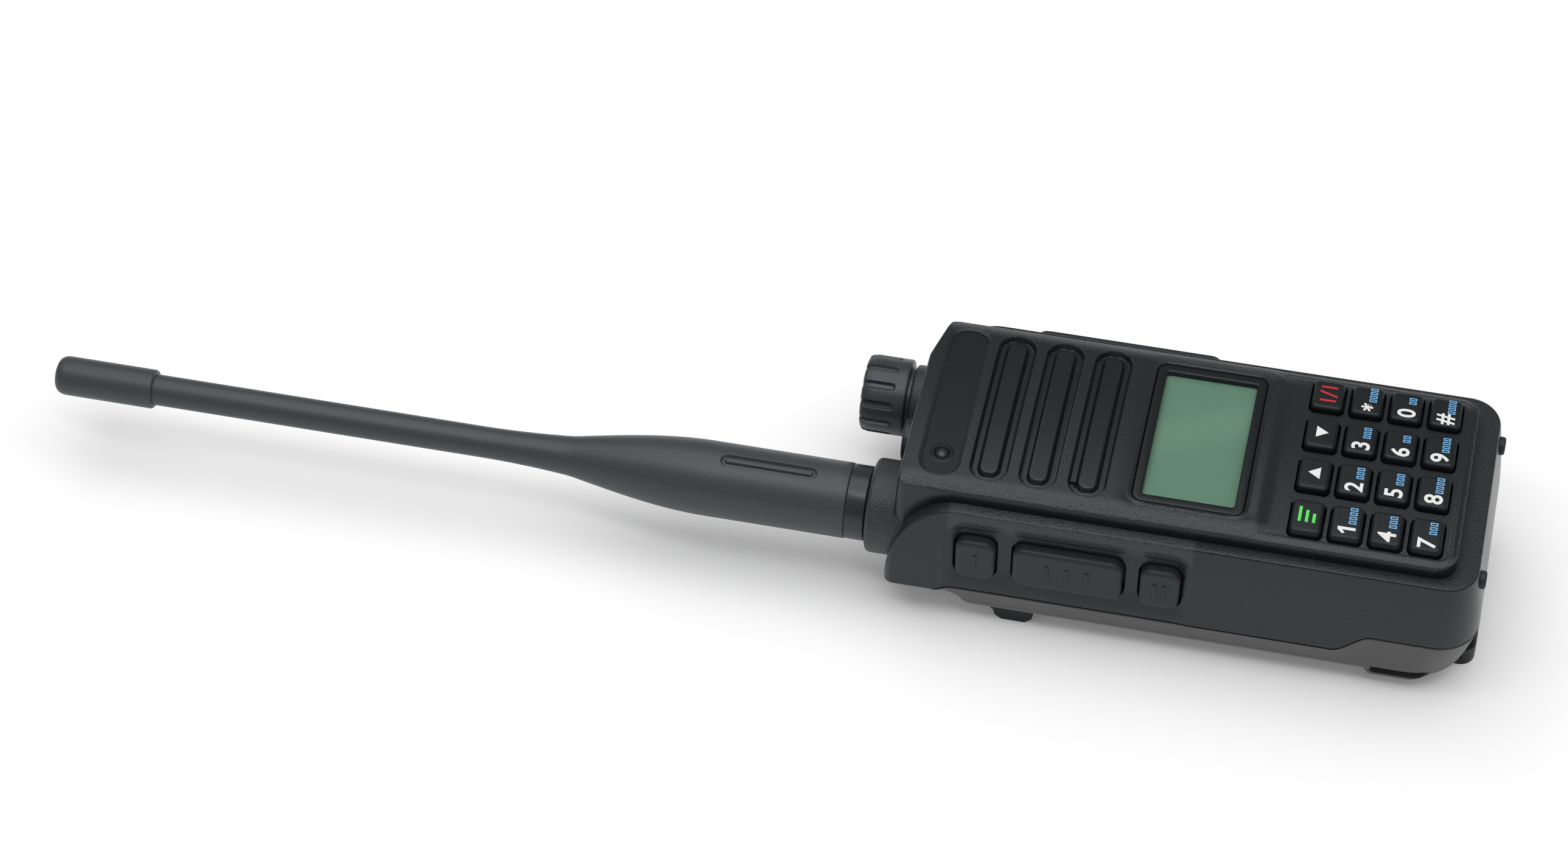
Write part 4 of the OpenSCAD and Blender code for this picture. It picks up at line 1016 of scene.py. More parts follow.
    def _snap(self, x: Array, y: Array) -> tuple[Array, Array]:
        """Moves the grid points next to a pit's edge onto it, so that the edge runs smoothly.

        A point nearer than half a grid step moves by its distance, against the slope of that distance.

        Args:
            x: Bench x of the grid.
            y: Bench y of the grid.

        Returns:
            Both, moved.
        """
        probe = 0.02
        distance = self._pit_distance(x, y)
        slope_x = (self._pit_distance(x + probe, y) - self._pit_distance(x - probe, y)) / (2.0 * probe)
        slope_y = (self._pit_distance(x, y + probe) - self._pit_distance(x, y - probe)) / (2.0 * probe)
        move = np.where(np.abs(distance) < 0.49 * self.grid.fine, distance, 0.0)
        return x - move * slope_x, y - move * slope_y

    def grain(self, x: Array, y: Array) -> Array:
        """Share of the moulded grain and of its painted highlight: full on the shoulders, less on the flat
        face, least in the slots.

        Args:
            x: Bench x.
            y: Bench y.

        Returns:
            Shares from 0 to 1.
        """
        on_plate = ease((x - self.step_x) / self.plate_grain_fade)
        shoulder = rise(np.abs(y), self.shoulder_grain) * (1.0 - self.plate_grain_loss * on_plate)
        share = self.flat_grain_and_highlight + (1.0 - self.flat_grain_and_highlight) * shoulder
        for k in (1, 2, 3):
            slot = pill_distance(x, y, self.slot_mid(k), self.slot_half_len, self.slot_half_w)
            share = share * (1.0 - self.slot_grain_loss * inside(slot, self.slot_grain_soft))
        return share

    def _end_lines(self, y: Array) -> tuple[Array, Array]:
        """Ends of the inset face along x at each y: a slanted corner and round corners.

        Args:
            y: Lines across the face.

        Returns:
            First and last x of the face on each line.
        """
        side = np.abs(y)
        round_top = self.top_corner_r - self.edge_r
        past = np.clip(side - self.core_half + self.top_corner_r, 0.0, round_top)
        top = self.edge_r + round_top - np.sqrt(round_top**2 - past**2)
        slope = self.slant_len / (self.slant_w + self.slant_past)
        top = top + np.maximum(slope * (y - self.core_half + self.slant_w), 0.0)
        round_low = self.corner_r - self.edge_r
        past = np.clip(side - self.core_half + self.corner_r, 0.0, round_low)
        low = self.plate_end - self.corner_r + np.sqrt(round_low**2 - past**2)
        return top, low

    def _lines(self) -> tuple[Array, Array]:
        """Grid lines along and across the face, fine near every edge that is cut into it.

        Returns:
            Lines along x and lines along y.
        """
        keys = [self.key_middle(k, k) for k in range(4)]
        widths = (self.slot_half_w, self.rib_half_w)
        along = [self.slot_mid(k) + s * w for k in range(4) for s in SIDES for w in widths]
        along += [self.bezel_mid + s * (self.bezel_half[0] + o) for s in SIDES for o in self.bezel_lines]
        along += [x + s * (self.key_half[0] + self.key_gap) for x, _ in keys for s in SIDES]
        along += [self.step_x + k * self.step_soft / 4.0 for k in (-1, 0, 1)]
        along += [self.mic[0], self.plate_end - self.lip_line, *self.end_lines]
        across = [y + s * (self.key_half[1] + self.key_gap) for _, y in keys for s in SIDES]
        across += [s * line for s in SIDES for line in self.shoulder_lines]
        x_end, y_end = self.plate_end - self.edge_r, self.core_half - self.edge_r
        return self.grid.lines(0.0, x_end, along), self.grid.lines(-y_end, y_end, across)

    def build(self) -> list[Piece]:
        """Builds the core: the face, its rounded edge, the walls below and a hidden floor.

        The rounded edge has most of the grain and of its painted highlight, and the walls have little.

        Returns:
            The core alone.
        """
        lines_x, lines_y = self._lines()
        top, low = self._end_lines(lines_y)
        blend_top = np.clip(1.0 - lines_x / self.end_blend[0], 0.0, 1.0)
        blend_low = np.clip(1.0 - (lines_x[-1] - lines_x) / self.end_blend[1], 0.0, 1.0)
        x = lines_x + top[:, None] * blend_top + (low[:, None] - lines_x[-1]) * blend_low
        x, y = self._snap(x, np.broadcast_to(lines_y[:, None], x.shape))
        points = np.stack([x, y, self.height(x, y)], axis=-1)
        shell = Shell()
        ids = shell.grid(points, self.grain(x, y))
        rim = np.concatenate([ids[0], ids[1:, -1], ids[-1, -2::-1], ids[-2:0:-1, 0]])
        walls = self._walls(points.reshape(-1, 3)[rim])
        on_edge = np.arange(len(walls))[:, None] < self.grained_rows
        foot = shell.grid(walls, np.where(on_edge, self.edge_grain_and_highlight, self.wall_grain_and_highlight), around=True)[-1]
        count_x, count_y = len(lines_x), len(lines_y)
        near = foot[:count_x]
        far = foot[count_x + count_y - 2 : 2 * count_x + count_y - 2][::-1]
        shell.faces(np.stack([near[:-1], near[1:], far[1:], far[:-1]], axis=-1))
        shell.cap(foot[count_x - 1 : count_x + count_y - 1])
        shell.cap(np.concatenate([foot[2 * count_x + count_y - 3 :], foot[:1]]))
        return [shell.piece("case_core", Body.CASE, CASE_BLACK, "front_case")]

    def _walls(self, rim: Array) -> Array:
        """Loops from the face's rim down to the hidden floor.

        The edge turns from the face's own slope to upright over a circle, and the top end leans outwards.

        Args:
            rim: Points of the face's rim, anticlockwise from above.

        Returns:
            Array of shape (loops, points, 3).
        """
        ahead = np.roll(rim, -1, axis=0) - np.roll(rim, 1, axis=0)
        out = np.stack([ahead[:, 1], -ahead[:, 0]], axis=-1)
        out = out / np.linalg.norm(out, axis=1, keepdims=True)
        probe = 0.2
        inner = self.height(rim[:, 0] - probe * out[:, 0], rim[:, 1] - probe * out[:, 1])
        slope = np.clip(np.arctan2(inner - rim[:, 2], probe), 0.0, math.radians(self.steepest))
        radius = self.edge_r / (1.0 - np.sin(slope))
        turn = slope + (QUARTER - slope) * np.linspace(0.0, 1.0, self.edge_rows)[:, None]
        push = radius * (np.sin(turn) - np.sin(slope))
        fall = radius * (np.cos(slope) - np.cos(turn))
        edge_z = rim[:, 2] - fall[-1]
        floor = self.lip_z + (self.hidden_z - self.lip_z) * rise(rim[:, 0], self.hidden_x)
        share = np.linspace(0.0, 1.0, self.wall_rows + 1)[1:, None]
        z = np.concatenate([rim[:, 2] - fall, edge_z + (floor - edge_z) * share])
        push = np.concatenate([push, np.broadcast_to(push[-1], (self.wall_rows, len(rim)))])
        lean = np.maximum(-out[:, 0], 0.0) ** 2 * self.end_draft / (self.crown_h - self.lip_z)
        x = rim[:, 0] + push * out[:, 0] - lean * np.maximum(self.crown_h - z, 0.0)
        y = rim[:, 1] + push * out[:, 1]
        return np.stack([x, y, z], axis=-1)


@dataclass
class CaseRim:
    """The wider part of the case below the face: rim ledge, side pods and the recesses in them."""

    half_w: float = 26.5
    rim_h: float = 33.0
    corner_r: float = 7.0
    top_x: float = -1.95
    sweep_len: float = 12.5
    end_draft: float = 2.0
    depth: float = 6.0
    rim_r: float = 0.45
    foot_r: float = 0.35
    barrel: float = 1.0
    barrel_z: float = 14.0
    end_swell: float = 1.3
    corner_grow: float = 1.5
    swell_x: Pair = (96.0, 108.0)
    lip_z: float = 9.6
    split_z: float = 11.3
    split_x: Pair = (7.5, 11.5)
    heel_rise: float = 5.1
    heel_x: Pair = (88.25, 95.75)
    panel: Pair = (10.1, 59.9)
    panel_top: float = 31.2
    panel_band: float = 3.4
    panel_depth: float = 1.25
    panel_foot: float = 0.25
    panel_fade: Pair = (12.0, 18.0)
    panel_r: float = 4.0
    panel_half: float = 30.0
    side_keys: tuple[Pair, ...] = ((16.5, 8.0), (35.0, 22.0), (53.5, 8.0))
    side_key_h: float = 10.4
    side_key_z: float = 20.8
    side_key_r: float = 2.2
    pit_depth: float = 3.2
    cover: Pair = (17.8, 57.6)
    cover_z: Pair = (18.4, 32.4)
    cover_r: float = 2.6
    cover_depth: float = 1.35
    gap: float = 0.3
    soft: float = 0.2
    # Grain shares below also weigh the painted highlight in the case's colour.
    band_fade: Pair = (0.6, 1.2)
    ledge_grain_and_highlight: float = 0.35
    wall_grain_and_highlight: float = 0.15
    talk_grid: Spacing = Spacing(0.55, 0.19, 1.0)
    cover_grid: Spacing = Spacing(0.9, 0.19, 0.8)
    sweep_lines: tuple[float, ...] = (0.5, 1.5, 2.5)
    corner_steps: int = 16
    end_steps: int = 32
    wall_rows: int = 82
    edge_rows: int = 8

    def split(self, x: Array) -> Array:
        """Height of the parting line: two smooth rises, near the top end and at the heel."""
        first = (self.split_z - self.lip_z) * rise(x, self.split_x)
        return self.lip_z + first + self.heel_rise * rise(x, self.heel_x)

    def ledge(self, x: Array) -> Array:
        """Height of the ledge: a quarter ellipse at the top end, level beyond it."""
        share = np.clip((self.sweep_len - x) / (self.sweep_len + self.end_draft), 0.0, 1.0)
        return self.lip_z + (self.rim_h - self.lip_z) * np.sqrt(1.0 - share**2)

    def _path(self) -> tuple[Array, Array]:
        """Path round the case: talk side, bottom end and cover side.

        The outward direction turns by an angle at the corners, and the wall is a core line plus the corner
        radius times that direction.

        Returns:
            Plan points of the outer wall and their outward directions, both of shape (points, 2).
        """
        straight = BODY_LEN - self.corner_r
        corner_y = self.half_w - self.corner_r
        edges = [*self.panel] + [mid + s * length / 2 for mid, length in self.side_keys for s in SIDES]
        sweep = [self.top_x + step for step in self.sweep_lines]
        talk = self.talk_grid.lines(self.top_x, straight, edges + sweep)
        other = self.cover_grid.lines(self.top_x, straight, [*self.cover] + sweep)[::-1]
        turn = np.linspace(0.0, QUARTER, self.corner_steps + 2)[1:-1]
        end = np.linspace(-corner_y, corner_y, self.end_steps)
        stay = np.full(self.corner_steps, straight)
        core_x = np.concatenate([talk, stay, np.full(self.end_steps, straight), stay, other])
        before, after = len(talk) + self.corner_steps, len(other) + self.corner_steps
        core_y = np.concatenate([np.full(before, -corner_y), end, np.full(after, corner_y)])
        angle = np.concatenate([
            np.full(len(talk), -QUARTER), turn - QUARTER, np.zeros(self.end_steps), turn,
            np.full(len(other), QUARTER)])
        out = np.stack([np.cos(angle), np.sin(angle)], axis=-1)
        return np.stack([core_x, core_y], axis=-1) + self.corner_r * out, out

    def _recess(self, x: Array, z: Array, side: Array) -> Array:
        """Depth of the recesses: the talk panel with its sloped band and key pits, and the cover's seat.

        Args:
            x: Bench x.
            z: Height.
            side: Outward y direction of the wall.

        Returns:
            Depth below the wall.
        """
        mid_x, half_x = span(self.panel)
        from_mid = z - self.panel_top + self.panel_half
        outline = box_distance(x - mid_x, from_mid, half_x, self.panel_half, self.panel_r)
        band = np.clip(-outline / self.panel_band, 0.0, 1.0)
        fade = self.panel_foot + (1.0 - self.panel_foot) * rise(z, self.panel_fade)
        talk = self.panel_depth * (band + ease(band)) / 2.0 * fade
        half_z = self.side_key_h / 2 + self.gap
        pit_r = self.side_key_r + self.gap
        for mid, length in self.side_keys:
            pit = box_distance(x - mid, z - self.side_key_z, length / 2 + self.gap, half_z, pit_r)
            talk = talk + (self.pit_depth - talk) * inside(pit, self.soft)
        mid_x, half_x = span(self.cover)
        mid_z, half_z = span(self.cover_z)
        seat = box_distance(x - mid_x, z - mid_z, half_x + self.gap, half_z + self.gap, self.cover_r)
        covered = self.cover_depth * inside(seat, self.soft)
        return np.where(side < -0.99, talk, np.where(side > 0.99, covered, 0.0))

    def build(self) -> list[Piece]:
        """Builds the rim as a closed section carried along its path.

        The walls lean in towards the ledge by a parabola, fully on the talk side and not on the cover side.
        Below the ledge the bottom end swells outwards, and its corners grow rounder, by the rest of it.

        Returns:
            The rim alone.
        """
        plan, out = self._path()
        x = plan[:, 0]
        across = np.ones((1, len(x)))
        ledge, bottom = self.ledge(x), self.split(x)
        radius = np.minimum(self.rim_r, 0.4 * (ledge - bottom))
        small = np.minimum(self.foot_r, 0.1 * (ledge - bottom))
        turn = np.linspace(0.0, QUARTER, self.edge_rows)[:, None]
        wall = np.linspace(0.0, 1.0, self.wall_rows + 2)[1:-1, None]
        upper, lower = ledge - radius, bottom + small
        inset = np.concatenate([
            self.depth * across, 0.5 * self.depth * across, radius * (1.0 - np.sin(turn)),
            0.0 * wall * across, small * (1.0 - np.cos(turn)), self.depth * across])
        z = np.concatenate([
            ledge[None], ledge[None], ledge - radius * (1.0 - np.cos(turn)), upper + (lower - upper) * wall,
            lower - small * np.sin(turn), bottom[None]])
        recess = self._recess(np.broadcast_to(x, z.shape), z, np.broadcast_to(out[:, 1], z.shape))
        hollow = np.maximum(inset, np.where(inset < self.rim_r, recess, 0.0))
        pull = np.maximum(-x, 0.0)
        rounding = self.end_draft - np.sqrt(np.maximum(self.end_draft**2 - pull**2, 0.0))
        lean = (np.maximum(z - self.barrel_z, 0.0) / (self.rim_h - self.barrel_z)) ** 2
        hollow = hollow + rounding + self.barrel * lean * (1.0 - out[:, 1]) / 2.0
        past = rise(x, self.swell_x) * (1.0 - lean)
        push = past * (self.end_swell + self.corner_grow * (out[:, 0] - 1.0))
        draw = np.clip(plan[:, 1] / (self.half_w - self.corner_r), -1.0, 1.0) * (1.0 - np.abs(out[:, 1]))
        y = plan[:, 1] - past * self.corner_grow * draw - hollow * out[:, 1]
        points = np.stack([x + push - hollow * out[:, 0], y, z], axis=-1)
        shell = Shell().tube(points.transpose(1, 0, 2), self._grain(x, inset, z, out).T)
        return [shell.piece("case_rim", Body.CASE, CASE_BLACK)]

    def _grain(self, x: Array, inset: Array, z: Array, out: Array) -> Array:
        """Grain and its painted highlight: full on the panel's sloped band, some on the ledge, little on the
        walls.

        Args:
            x: Bench x along the path.
            inset: Distance in from the wall.
            z: Height.
            out: Outward direction of the wall.

        Returns:
            Share of the grain.
        """
        from_end = np.minimum(x - self.panel[0], self.panel[1] - x)
        band = ease((z - self.panel_top + self.panel_band) / self.band_fade[0])
        band = band * ease(from_end / self.band_fade[1]) * (out[:, 1] < -0.99)
        on_ledge = ease(inset / self.rim_r * 1.5)
        share = self.wall_grain_and_highlight + (1.0 - self.wall_grain_and_highlight) * band + self.ledge_grain_and_highlight * on_ledge
        return np.clip(share, 0.0, 1.0)


@dataclass
class TopEnd:
    """Bosses on the case's top end, the lens between them and the knob."""

    knob_axis: Pair = (15.0, 19.4)
    antenna_axis: Pair = (-15.0, 19.4)
    lamp_axis: Pair = (0.0, 23.4)
    root: float = 2.0
    boss_r: float = 9.6
    boss_len: float = 6.6
    boss_seat_r: float = 6.9
    boss_seat: float = 0.5
    boss_round: float = 1.3
    collar_r: float = 7.2
    collar_len: float = 3.9
    collar_hole_r: float = 4.4
    collar_round: float = 0.8
    lamp_r: float = 3.2
    lamp_ring: float = 1.3
    lamp_len: float = 3.0
    lamp_depth: float = 1.7
    lamp_round: float = 0.7
    lens_drop: float = 0.25
    lens_in: float = 1.0
    knob_r: float = 8.0
    knob_len: float = 9.2
    knob_gap: float = 0.8
    knob_round: float = 1.3
    knob_face_r: float = 5.6
    knob_face_drop: float = 0.25
    knob_slots: int = 12
    foot_r: float = 6.4
    slot_w: float = 1.3
    slot_depth: float = 0.75
    slot_start: float = 0.34
    slot_soft: float = 0.5

    def build(self) -> list[Piece]:
        """Builds bosses, lamp and knob."""
        return [self._boss(), self._collar(), self._lamp_ring(), self._lens(), self._knob()]

    def _boss(self) -> Piece:
        """Textured boss that carries the antenna, with a shallow seat in its end.

        Returns:
            The boss.
        """
        end = self.root + self.boss_len
        seat = end - self.boss_seat
        profile = rounded_profile([
            (0.0, 0.0, 0.0), (0.0, self.boss_r, 0.0), (end, self.boss_r, self.boss_round),
            (end, self.boss_seat_r, 0.3), (seat, self.boss_seat_r - 0.3, 0.2), (seat, 0.0, 0.0)])
        return Shell().lathe(self.root, profile, self.antenna_axis, full_turn(128)).piece(
            "antenna_boss", Body.CASE, CASE_BLACK)

    def _collar(self) -> Piece:
        """Textured collar under the knob.

        Returns:
            The collar.
        """
        end = self.root + self.collar_len
        profile = rounded_profile([
            (0.0, 0.0, 0.0), (0.0, self.collar_r, 0.0), (end, self.collar_r, self.collar_round),
            (end, self.collar_hole_r, 0.2), (end, 0.0, 0.0)])
        return Shell().lathe(self.root, profile, self.knob_axis, full_turn(112)).piece(
            "knob_collar", Body.CASE, CASE_BLACK)

    def _lamp_ring(self) -> Piece:
        """Ring with a shallow seat for the lens.

        Returns:
            The ring.
        """
        outer = self.lamp_r + self.lamp_ring
        end = self.root + self.lamp_len
        seat = end - self.lamp_depth
        profile = rounded_profile([
            (0.0, 0.0, 0.0), (0.0, outer, 0.0), (end, outer, self.lamp_round),
            (end, self.lamp_r + 0.15, 0.3), (seat, self.lamp_r + 0.1, 0.1), (seat, 0.0, 0.0)])
        return Shell().lathe(self.root, profile, self.lamp_axis, full_turn(80), grain=0.6).piece(
            "lamp_ring", Body.CASE, CASE_BLACK)

    def _lens(self) -> Piece:
        """Clear lens with a rounded front, just above its seat.

        Returns:
            The lens.
        """
        tip = self.root + self.lamp_len - self.lens_drop
        foot = self.root + self.lamp_len - self.lamp_depth + 0.05
        profile = rounded_profile([
            (foot, 0.0, 0.0), (foot, self.lamp_r, 0.0), (tip - 0.5, self.lamp_r, 0.3),
            (tip, self.lamp_r - self.lens_in, 0.6), (tip, 0.0, 0.0)])
        return Shell().lathe(self.root, profile, self.lamp_axis, full_turn(64)).piece(
            "lamp_lens_dome", Body.CASE, ClearPlastic(), "lamp_lens")

    def _knob(self) -> Piece:
        """Knob with long grip slots that are open at its outer end.

        Returns:
            The knob.
        """
        length, radius = self.knob_len, self.knob_r
        floor = length - self.knob_face_drop
        foot = self.knob_gap - 0.1
        below = np.array([
            (-foot, 0.0), (-foot, self.foot_r), (0.0, self.foot_r), (0.0, radius - 0.35),
            (0.12, radius - 0.1)])
        straight = np.linspace(0.45, length - 1.6, 36)
        wall = np.stack([straight, np.full_like(straight, radius)], axis=-1)
        end = rounded_profile([
            (0.0, radius, 0.0), (length, radius - 0.15, self.knob_round), (length, self.knob_face_r, 0.4),
            (floor, self.knob_face_r - 0.4, 0.3), (floor, 0.0, 0.0)], 8)
        profile = np.concatenate([below, wall, end[1:]])
        turns = full_turn(self.knob_slots * 34)
        start = -self.collar_len - self.knob_gap
        return Shell().lathe(start, profile, self.knob_axis, turns, self._grip, 0.25).piece(
            "volume_knob_grip", Body.KNOB, KNOB_BLACK, "volume_knob")

    def _grip(self, along: Array, turn: Array, radius: Array) -> Array:
        """Lowers the radius in slots of half-round section that start a third of the way along.

        Args:
            along: Distance along the knob.
            turn: Angle round it.
            radius: Radius without slots.

        Returns:
            Radius with slots.
        """
        pitch = FULL / self.knob_slots
        across = (np.mod(turn + pitch / 2.0, pitch) - pitch / 2.0) * self.knob_r
        short_of = np.maximum(self.knob_len * self.slot_start - along, 0.0)
        distance = np.hypot(across, short_of) - self.slot_w / 2.0
        return radius - self.slot_depth * inside(distance, self.slot_soft) * (radius > self.knob_r * 0.8)


@dataclass
class Antenna:
    """Whip antenna: ferrule, tapered rubber sheath with a raised bar, and cap."""

    axis: Pair = (-15.0, 19.4)
    ferrule_x: float = -6.9
    ferrule_len: float = 4.1
    straight_len: float = 29.0
    taper_len: float = 28.5
    neck_len: float = 19.5
    whip_len: float = 69.0
    cap_len: float = 21.0
    base_r: float = 7.7
    neck_r: float = 4.1
    whip_r: float = 3.2
    cap_r: float = 4.05
    bar_from_base: float = 16.5
    bar_half_len: float = 9.75
    bar_half_w: float = 1.3
    bar_groove: float = 0.8
    bar_depth: float = 0.65
    bar_drop: float = 0.1
    bar_tilt: float = -8.0
    bar_field: float = 2.2
    bar_soft: Pair = (0.35, 0.4)
    foot_in: float = 0.1
    cap_foot_r: float = 0.7
    cap_tip_r: float = 2.4
    joint_gap: float = 0.02
    grid: Spacing = Spacing(1.2, 0.2, 0.9)
    bar_step: float = 0.11
    rest_steps: int = 88

    def build(self) -> list[Piece]:
        """Builds the three pieces, which turn together."""
        return [self._ferrule(), self._sheath(), self._cap()]

    def _sheath_len(self) -> float:
        """Length of the sheath from the ferrule to the cap."""
        return self.straight_len + self.taper_len + self.neck_len + self.whip_len

    def _ferrule(self) -> Piece:
        """Smooth ring at the antenna's foot.

        Returns:
            The ferrule.
        """
        length, radius = self.ferrule_len - self.joint_gap, self.base_r - self.foot_in
        profile = rounded_profile([
            (0.0, 0.0, 0.0), (0.0, radius, 0.35), (length, radius, 0.25), (length, 0.0, 0.0)])
        return Shell().lathe(self.ferrule_x, profile, self.axis, full_turn(128)).piece(
            "antenna_ring", Body.ANTENNA, FERRULE_BLACK, "antenna_ferrule")

    def radius(self, along: Array) -> Array:
        """Radius along the sheath: straight, a taper with a soft start, a neck that eases out, the whip.

        Args:
            along: Distance from the sheath's foot.

        Returns:
            Radius there.
        """
        t = np.clip((along - self.straight_len) / self.taper_len, 0.0, 1.0)
        base = self.base_r - (self.base_r - self.neck_r) * t * t * (1.5 - 0.5 * t)
        t = np.clip((along - self.straight_len - self.taper_len) / self.neck_len, 0.0, 1.0)
        return base - (self.neck_r - self.whip_r) * (1.0 - (1.0 - t) ** 2)

    def _sheath(self) -> Piece:
        """Rubber sheath: its radius along the axis, with a groove round the raised bar.

        Returns:
            The sheath.
        """
        length = self._sheath_len()
        offsets = (self.bar_half_len - 1.2, self.bar_half_len)
        edges = [self.bar_from_base + s * v for s in SIDES for v in offsets]
        along = self.grid.lines(0.35, length, edges)
        body = np.stack([along, self.radius(along)], axis=-1)
        gap, radius = self.joint_gap, self.base_r - self.foot_in
        foot = np.array([[gap, 0.0], [gap, radius - 0.2], [0.1, radius]])
        profile = np.concatenate([foot, body, [[length, 0.0]]])
        fine = np.arange(-self.bar_field, self.bar_field, self.bar_step) / self.base_r
        edge = self.bar_field / self.base_r
        rest = np.linspace(edge, FULL - edge, self.rest_steps)
        turns = np.concatenate([fine, rest[:-1]]) + math.radians(self.bar_tilt)
        return Shell().lathe(self.ferrule_x - self.ferrule_len, profile, self.axis, turns, self._bar).piece(
            "antenna_whip", Body.ANTENNA, ANTENNA_RUBBER, "antenna_sheath")

    def _bar(self, along: Array, turn: Array, radius: Array) -> Array:
        """Lowers the radius in a groove round the bar, which keeps nearly its own height.

        Args:
            along: Distance from the sheath's foot.
            turn: Angle round it.
            radius: Radius without the bar.

        Returns:
            Radius with the bar.
        """
        tilt = math.radians(self.bar_tilt)
        across = (np.mod(turn - tilt + math.pi, FULL) - math.pi) * self.base_r
        outer = pill_distance(across, along - self.bar_from_base, 0.0, self.bar_half_len, self.bar_half_w)
        groove = self.bar_depth * inside(outer, self.bar_soft[0])
        bar = (self.bar_depth - self.bar_drop) * inside(outer, self.bar_soft[1], self.bar_groove)
        return radius - groove + bar

    def _cap(self) -> Piece:
        """Rubber cap with a small step at its foot and a round tip.

        Returns:
            The cap.
        """
        length = self.cap_len
        start = self.ferrule_x - self.ferrule_len - self._sheath_len()
        profile = rounded_profile([
            (0.0, 0.0, 0.0), (0.0, self.cap_r, self.cap_foot_r), (length, self.cap_r, self.cap_tip_r),
            (length, 0.0, 0.0)], 10)
        return Shell().lathe(start, profile, self.axis, full_turn(96)).piece(
            "antenna_end_cap", Body.ANTENNA, ANTENNA_RUBBER, "antenna_cap")


# Face


@dataclass
class Display:
    """Indicator strip with its light, and the display with frame, panel and window."""

    face: FrontFace
    border: float = 1.9
    opening_r: float = 0.7
    frame_drop: float = 0.2
    panel_z: float = 36.2
    panel_r: float = 0.8
    panel_lap: float = 0.4
    window_drop: float = 0.45
    window_t: float = 0.5
    window_gap: float = 0.05
    strip_drop: float = 0.06
    strip_base: float = 2.6
    light_y: float = -14.5
    light_r: float = 1.9
    seat_depth: float = 0.45
    seat_edge: Pair = (0.7, 0.5)
    seat_rim: float = 0.22
    seat_rim_half: float = 0.55
    dome_r: float = 1.15
    dome_h: float = 0.9
    dome_drop: float = 0.7

    def build(self) -> list[Piece]:
        """Builds frame, panel, window, strip and light."""
        return [self._frame(), self._panel(), self._window(), self._strip(), self._light()]

    def _frame(self) -> Piece:
        """Glossy frame: a section carried round the display that follows the crown.

        Returns:
            The frame.
        """
        face = self.face
        section = np.array([
            (0.0, -9.0), (0.0, -0.2), (0.05, -0.08), (0.18, 0.0), (0.6, 0.02), (1.4, 0.02),
            (1.7, -0.03), (1.85, -0.15), (self.border, -0.5), (self.border, -9.0)])
        inset = section[:, :1]
        radius = np.maximum(face.bezel_r - inset * 0.7, self.opening_r)
        half_x, half_y = face.bezel_half
        loops = ring(inset - half_x, half_x - inset, half_y - inset, radius, radius, 8, 24)
        x, y = face.bezel_mid + loops[..., 0], loops[..., 1]
        z = np.maximum(face.crown(y) - self.frame_drop + section[:, 1:], face.bezel_floor + 0.02)
        rows = np.stack([x, y, z], axis=-1)
        shell = Shell()
        shell.grid(np.concatenate([rows, rows[:1]]), 0.0, around=True)
        return shell.piece("display_frame", Body.CASE, BEZEL_GLOSS, "display_bezel")

    def _panel(self) -> Piece:
        """Display panel that shows through the frame's opening.

        Returns:
            The panel.
        """
        face = self.face
        lap = self.panel_lap - self.border
        shell = Shell().cushion(
            Facing.FRONT, (face.bezel_mid, 0.0), (face.bezel_half[0] + lap, face.bezel_half[1] + lap),
            self.panel_r, face.bezel_floor + 0.04, flat_top(self.panel_z), 0.02, 2, 0.0)
        return shell.piece("display_panel", Body.CASE, DisplayGreen(), "display_module")

    def _window(self) -> Piece:
        """Clear window: two crowned sheets joined along their edges.

        Returns:
            The window.
        """
        face = self.face
        half_x = face.bezel_half[0] - self.border - self.window_gap
        half_y = face.bezel_half[1] - self.border - self.window_gap
        across, along = np.linspace(-half_y, half_y, 40), np.linspace(-half_x, half_x, 12)
        x, y = np.meshgrid(face.bezel_mid + along, across, indexing="ij")
        upper = face.crown(y) - self.window_drop
        top = np.stack([x, y, upper], axis=-1)
        low = np.stack([x, y, upper - self.window_t], axis=-1)
        shell = Shell()
        shell.grid(top)
        shell.grid(low)
        for edge in (np.s_[0], np.s_[-1], np.s_[:, 0], np.s_[:, -1]):
            shell.grid(np.stack([top[edge], low[edge]]))
        return shell.piece("display_glass", Body.CASE, ClearPlastic(), "display_window")

    def _strip(self) -> Piece:
        """Smooth indicator strip across the face's top, which follows the crown.

        Returns:
            The strip.
        """
        face = self.face
        half = (face.slot_half_w - 0.05, face.slot_half_len - 0.05)
        drop = face.strip_dish + self.strip_drop
        shell = Shell().cushion(
            Facing.FRONT, (face.slot_x, 0.0), half, half[0], face.crown_h - self.strip_base,
            lambda x, y: face.crown(y) - drop - self._light_seat(x, y), 0.08, 28, 0.0, 200)
        return shell.piece("indicator_strip", Body.CASE, PANEL_BLACK, "indicator_window")

    def _light_seat(self, x: Array, y: Array) -> Array:
        """Depth of the shallow seat in the strip round the indicator light, less its low rim.

        Args:
            x: Bench x.
            y: Bench y.

        Returns:
            Depth below the strip.
        """
        distance = np.hypot(x - self.face.slot_x, y - self.light_y) - self.light_r
        seat = self.seat_depth * inside(distance, *self.seat_edge)
        return seat - self.seat_rim * ridge(distance, 0.0, self.seat_rim_half)

    def _light(self) -> Piece:
        """Indicator light: a low dome in the strip, a quarter ellipse turned round.

        Returns:
            The dome.
        """
        turn = full_turn(48)
        angle = np.linspace(0.0, QUARTER, 12)[:, None]
        radius = self.dome_r * np.cos(angle)
        seat = self.face.crown(self.light_y) - self.face.strip_dish - self.dome_drop
        x = self.face.slot_x + radius * np.cos(turn)
        y = self.light_y + radius * np.sin(turn)
        z = np.broadcast_to(seat + self.dome_h * np.sin(angle), x.shape)
        return Shell().tube(np.stack([x, y, z], axis=-1), 0.0, last=False).piece(
            "indicator_dome", Body.CASE, LAMP_GREY, "indicator_light")


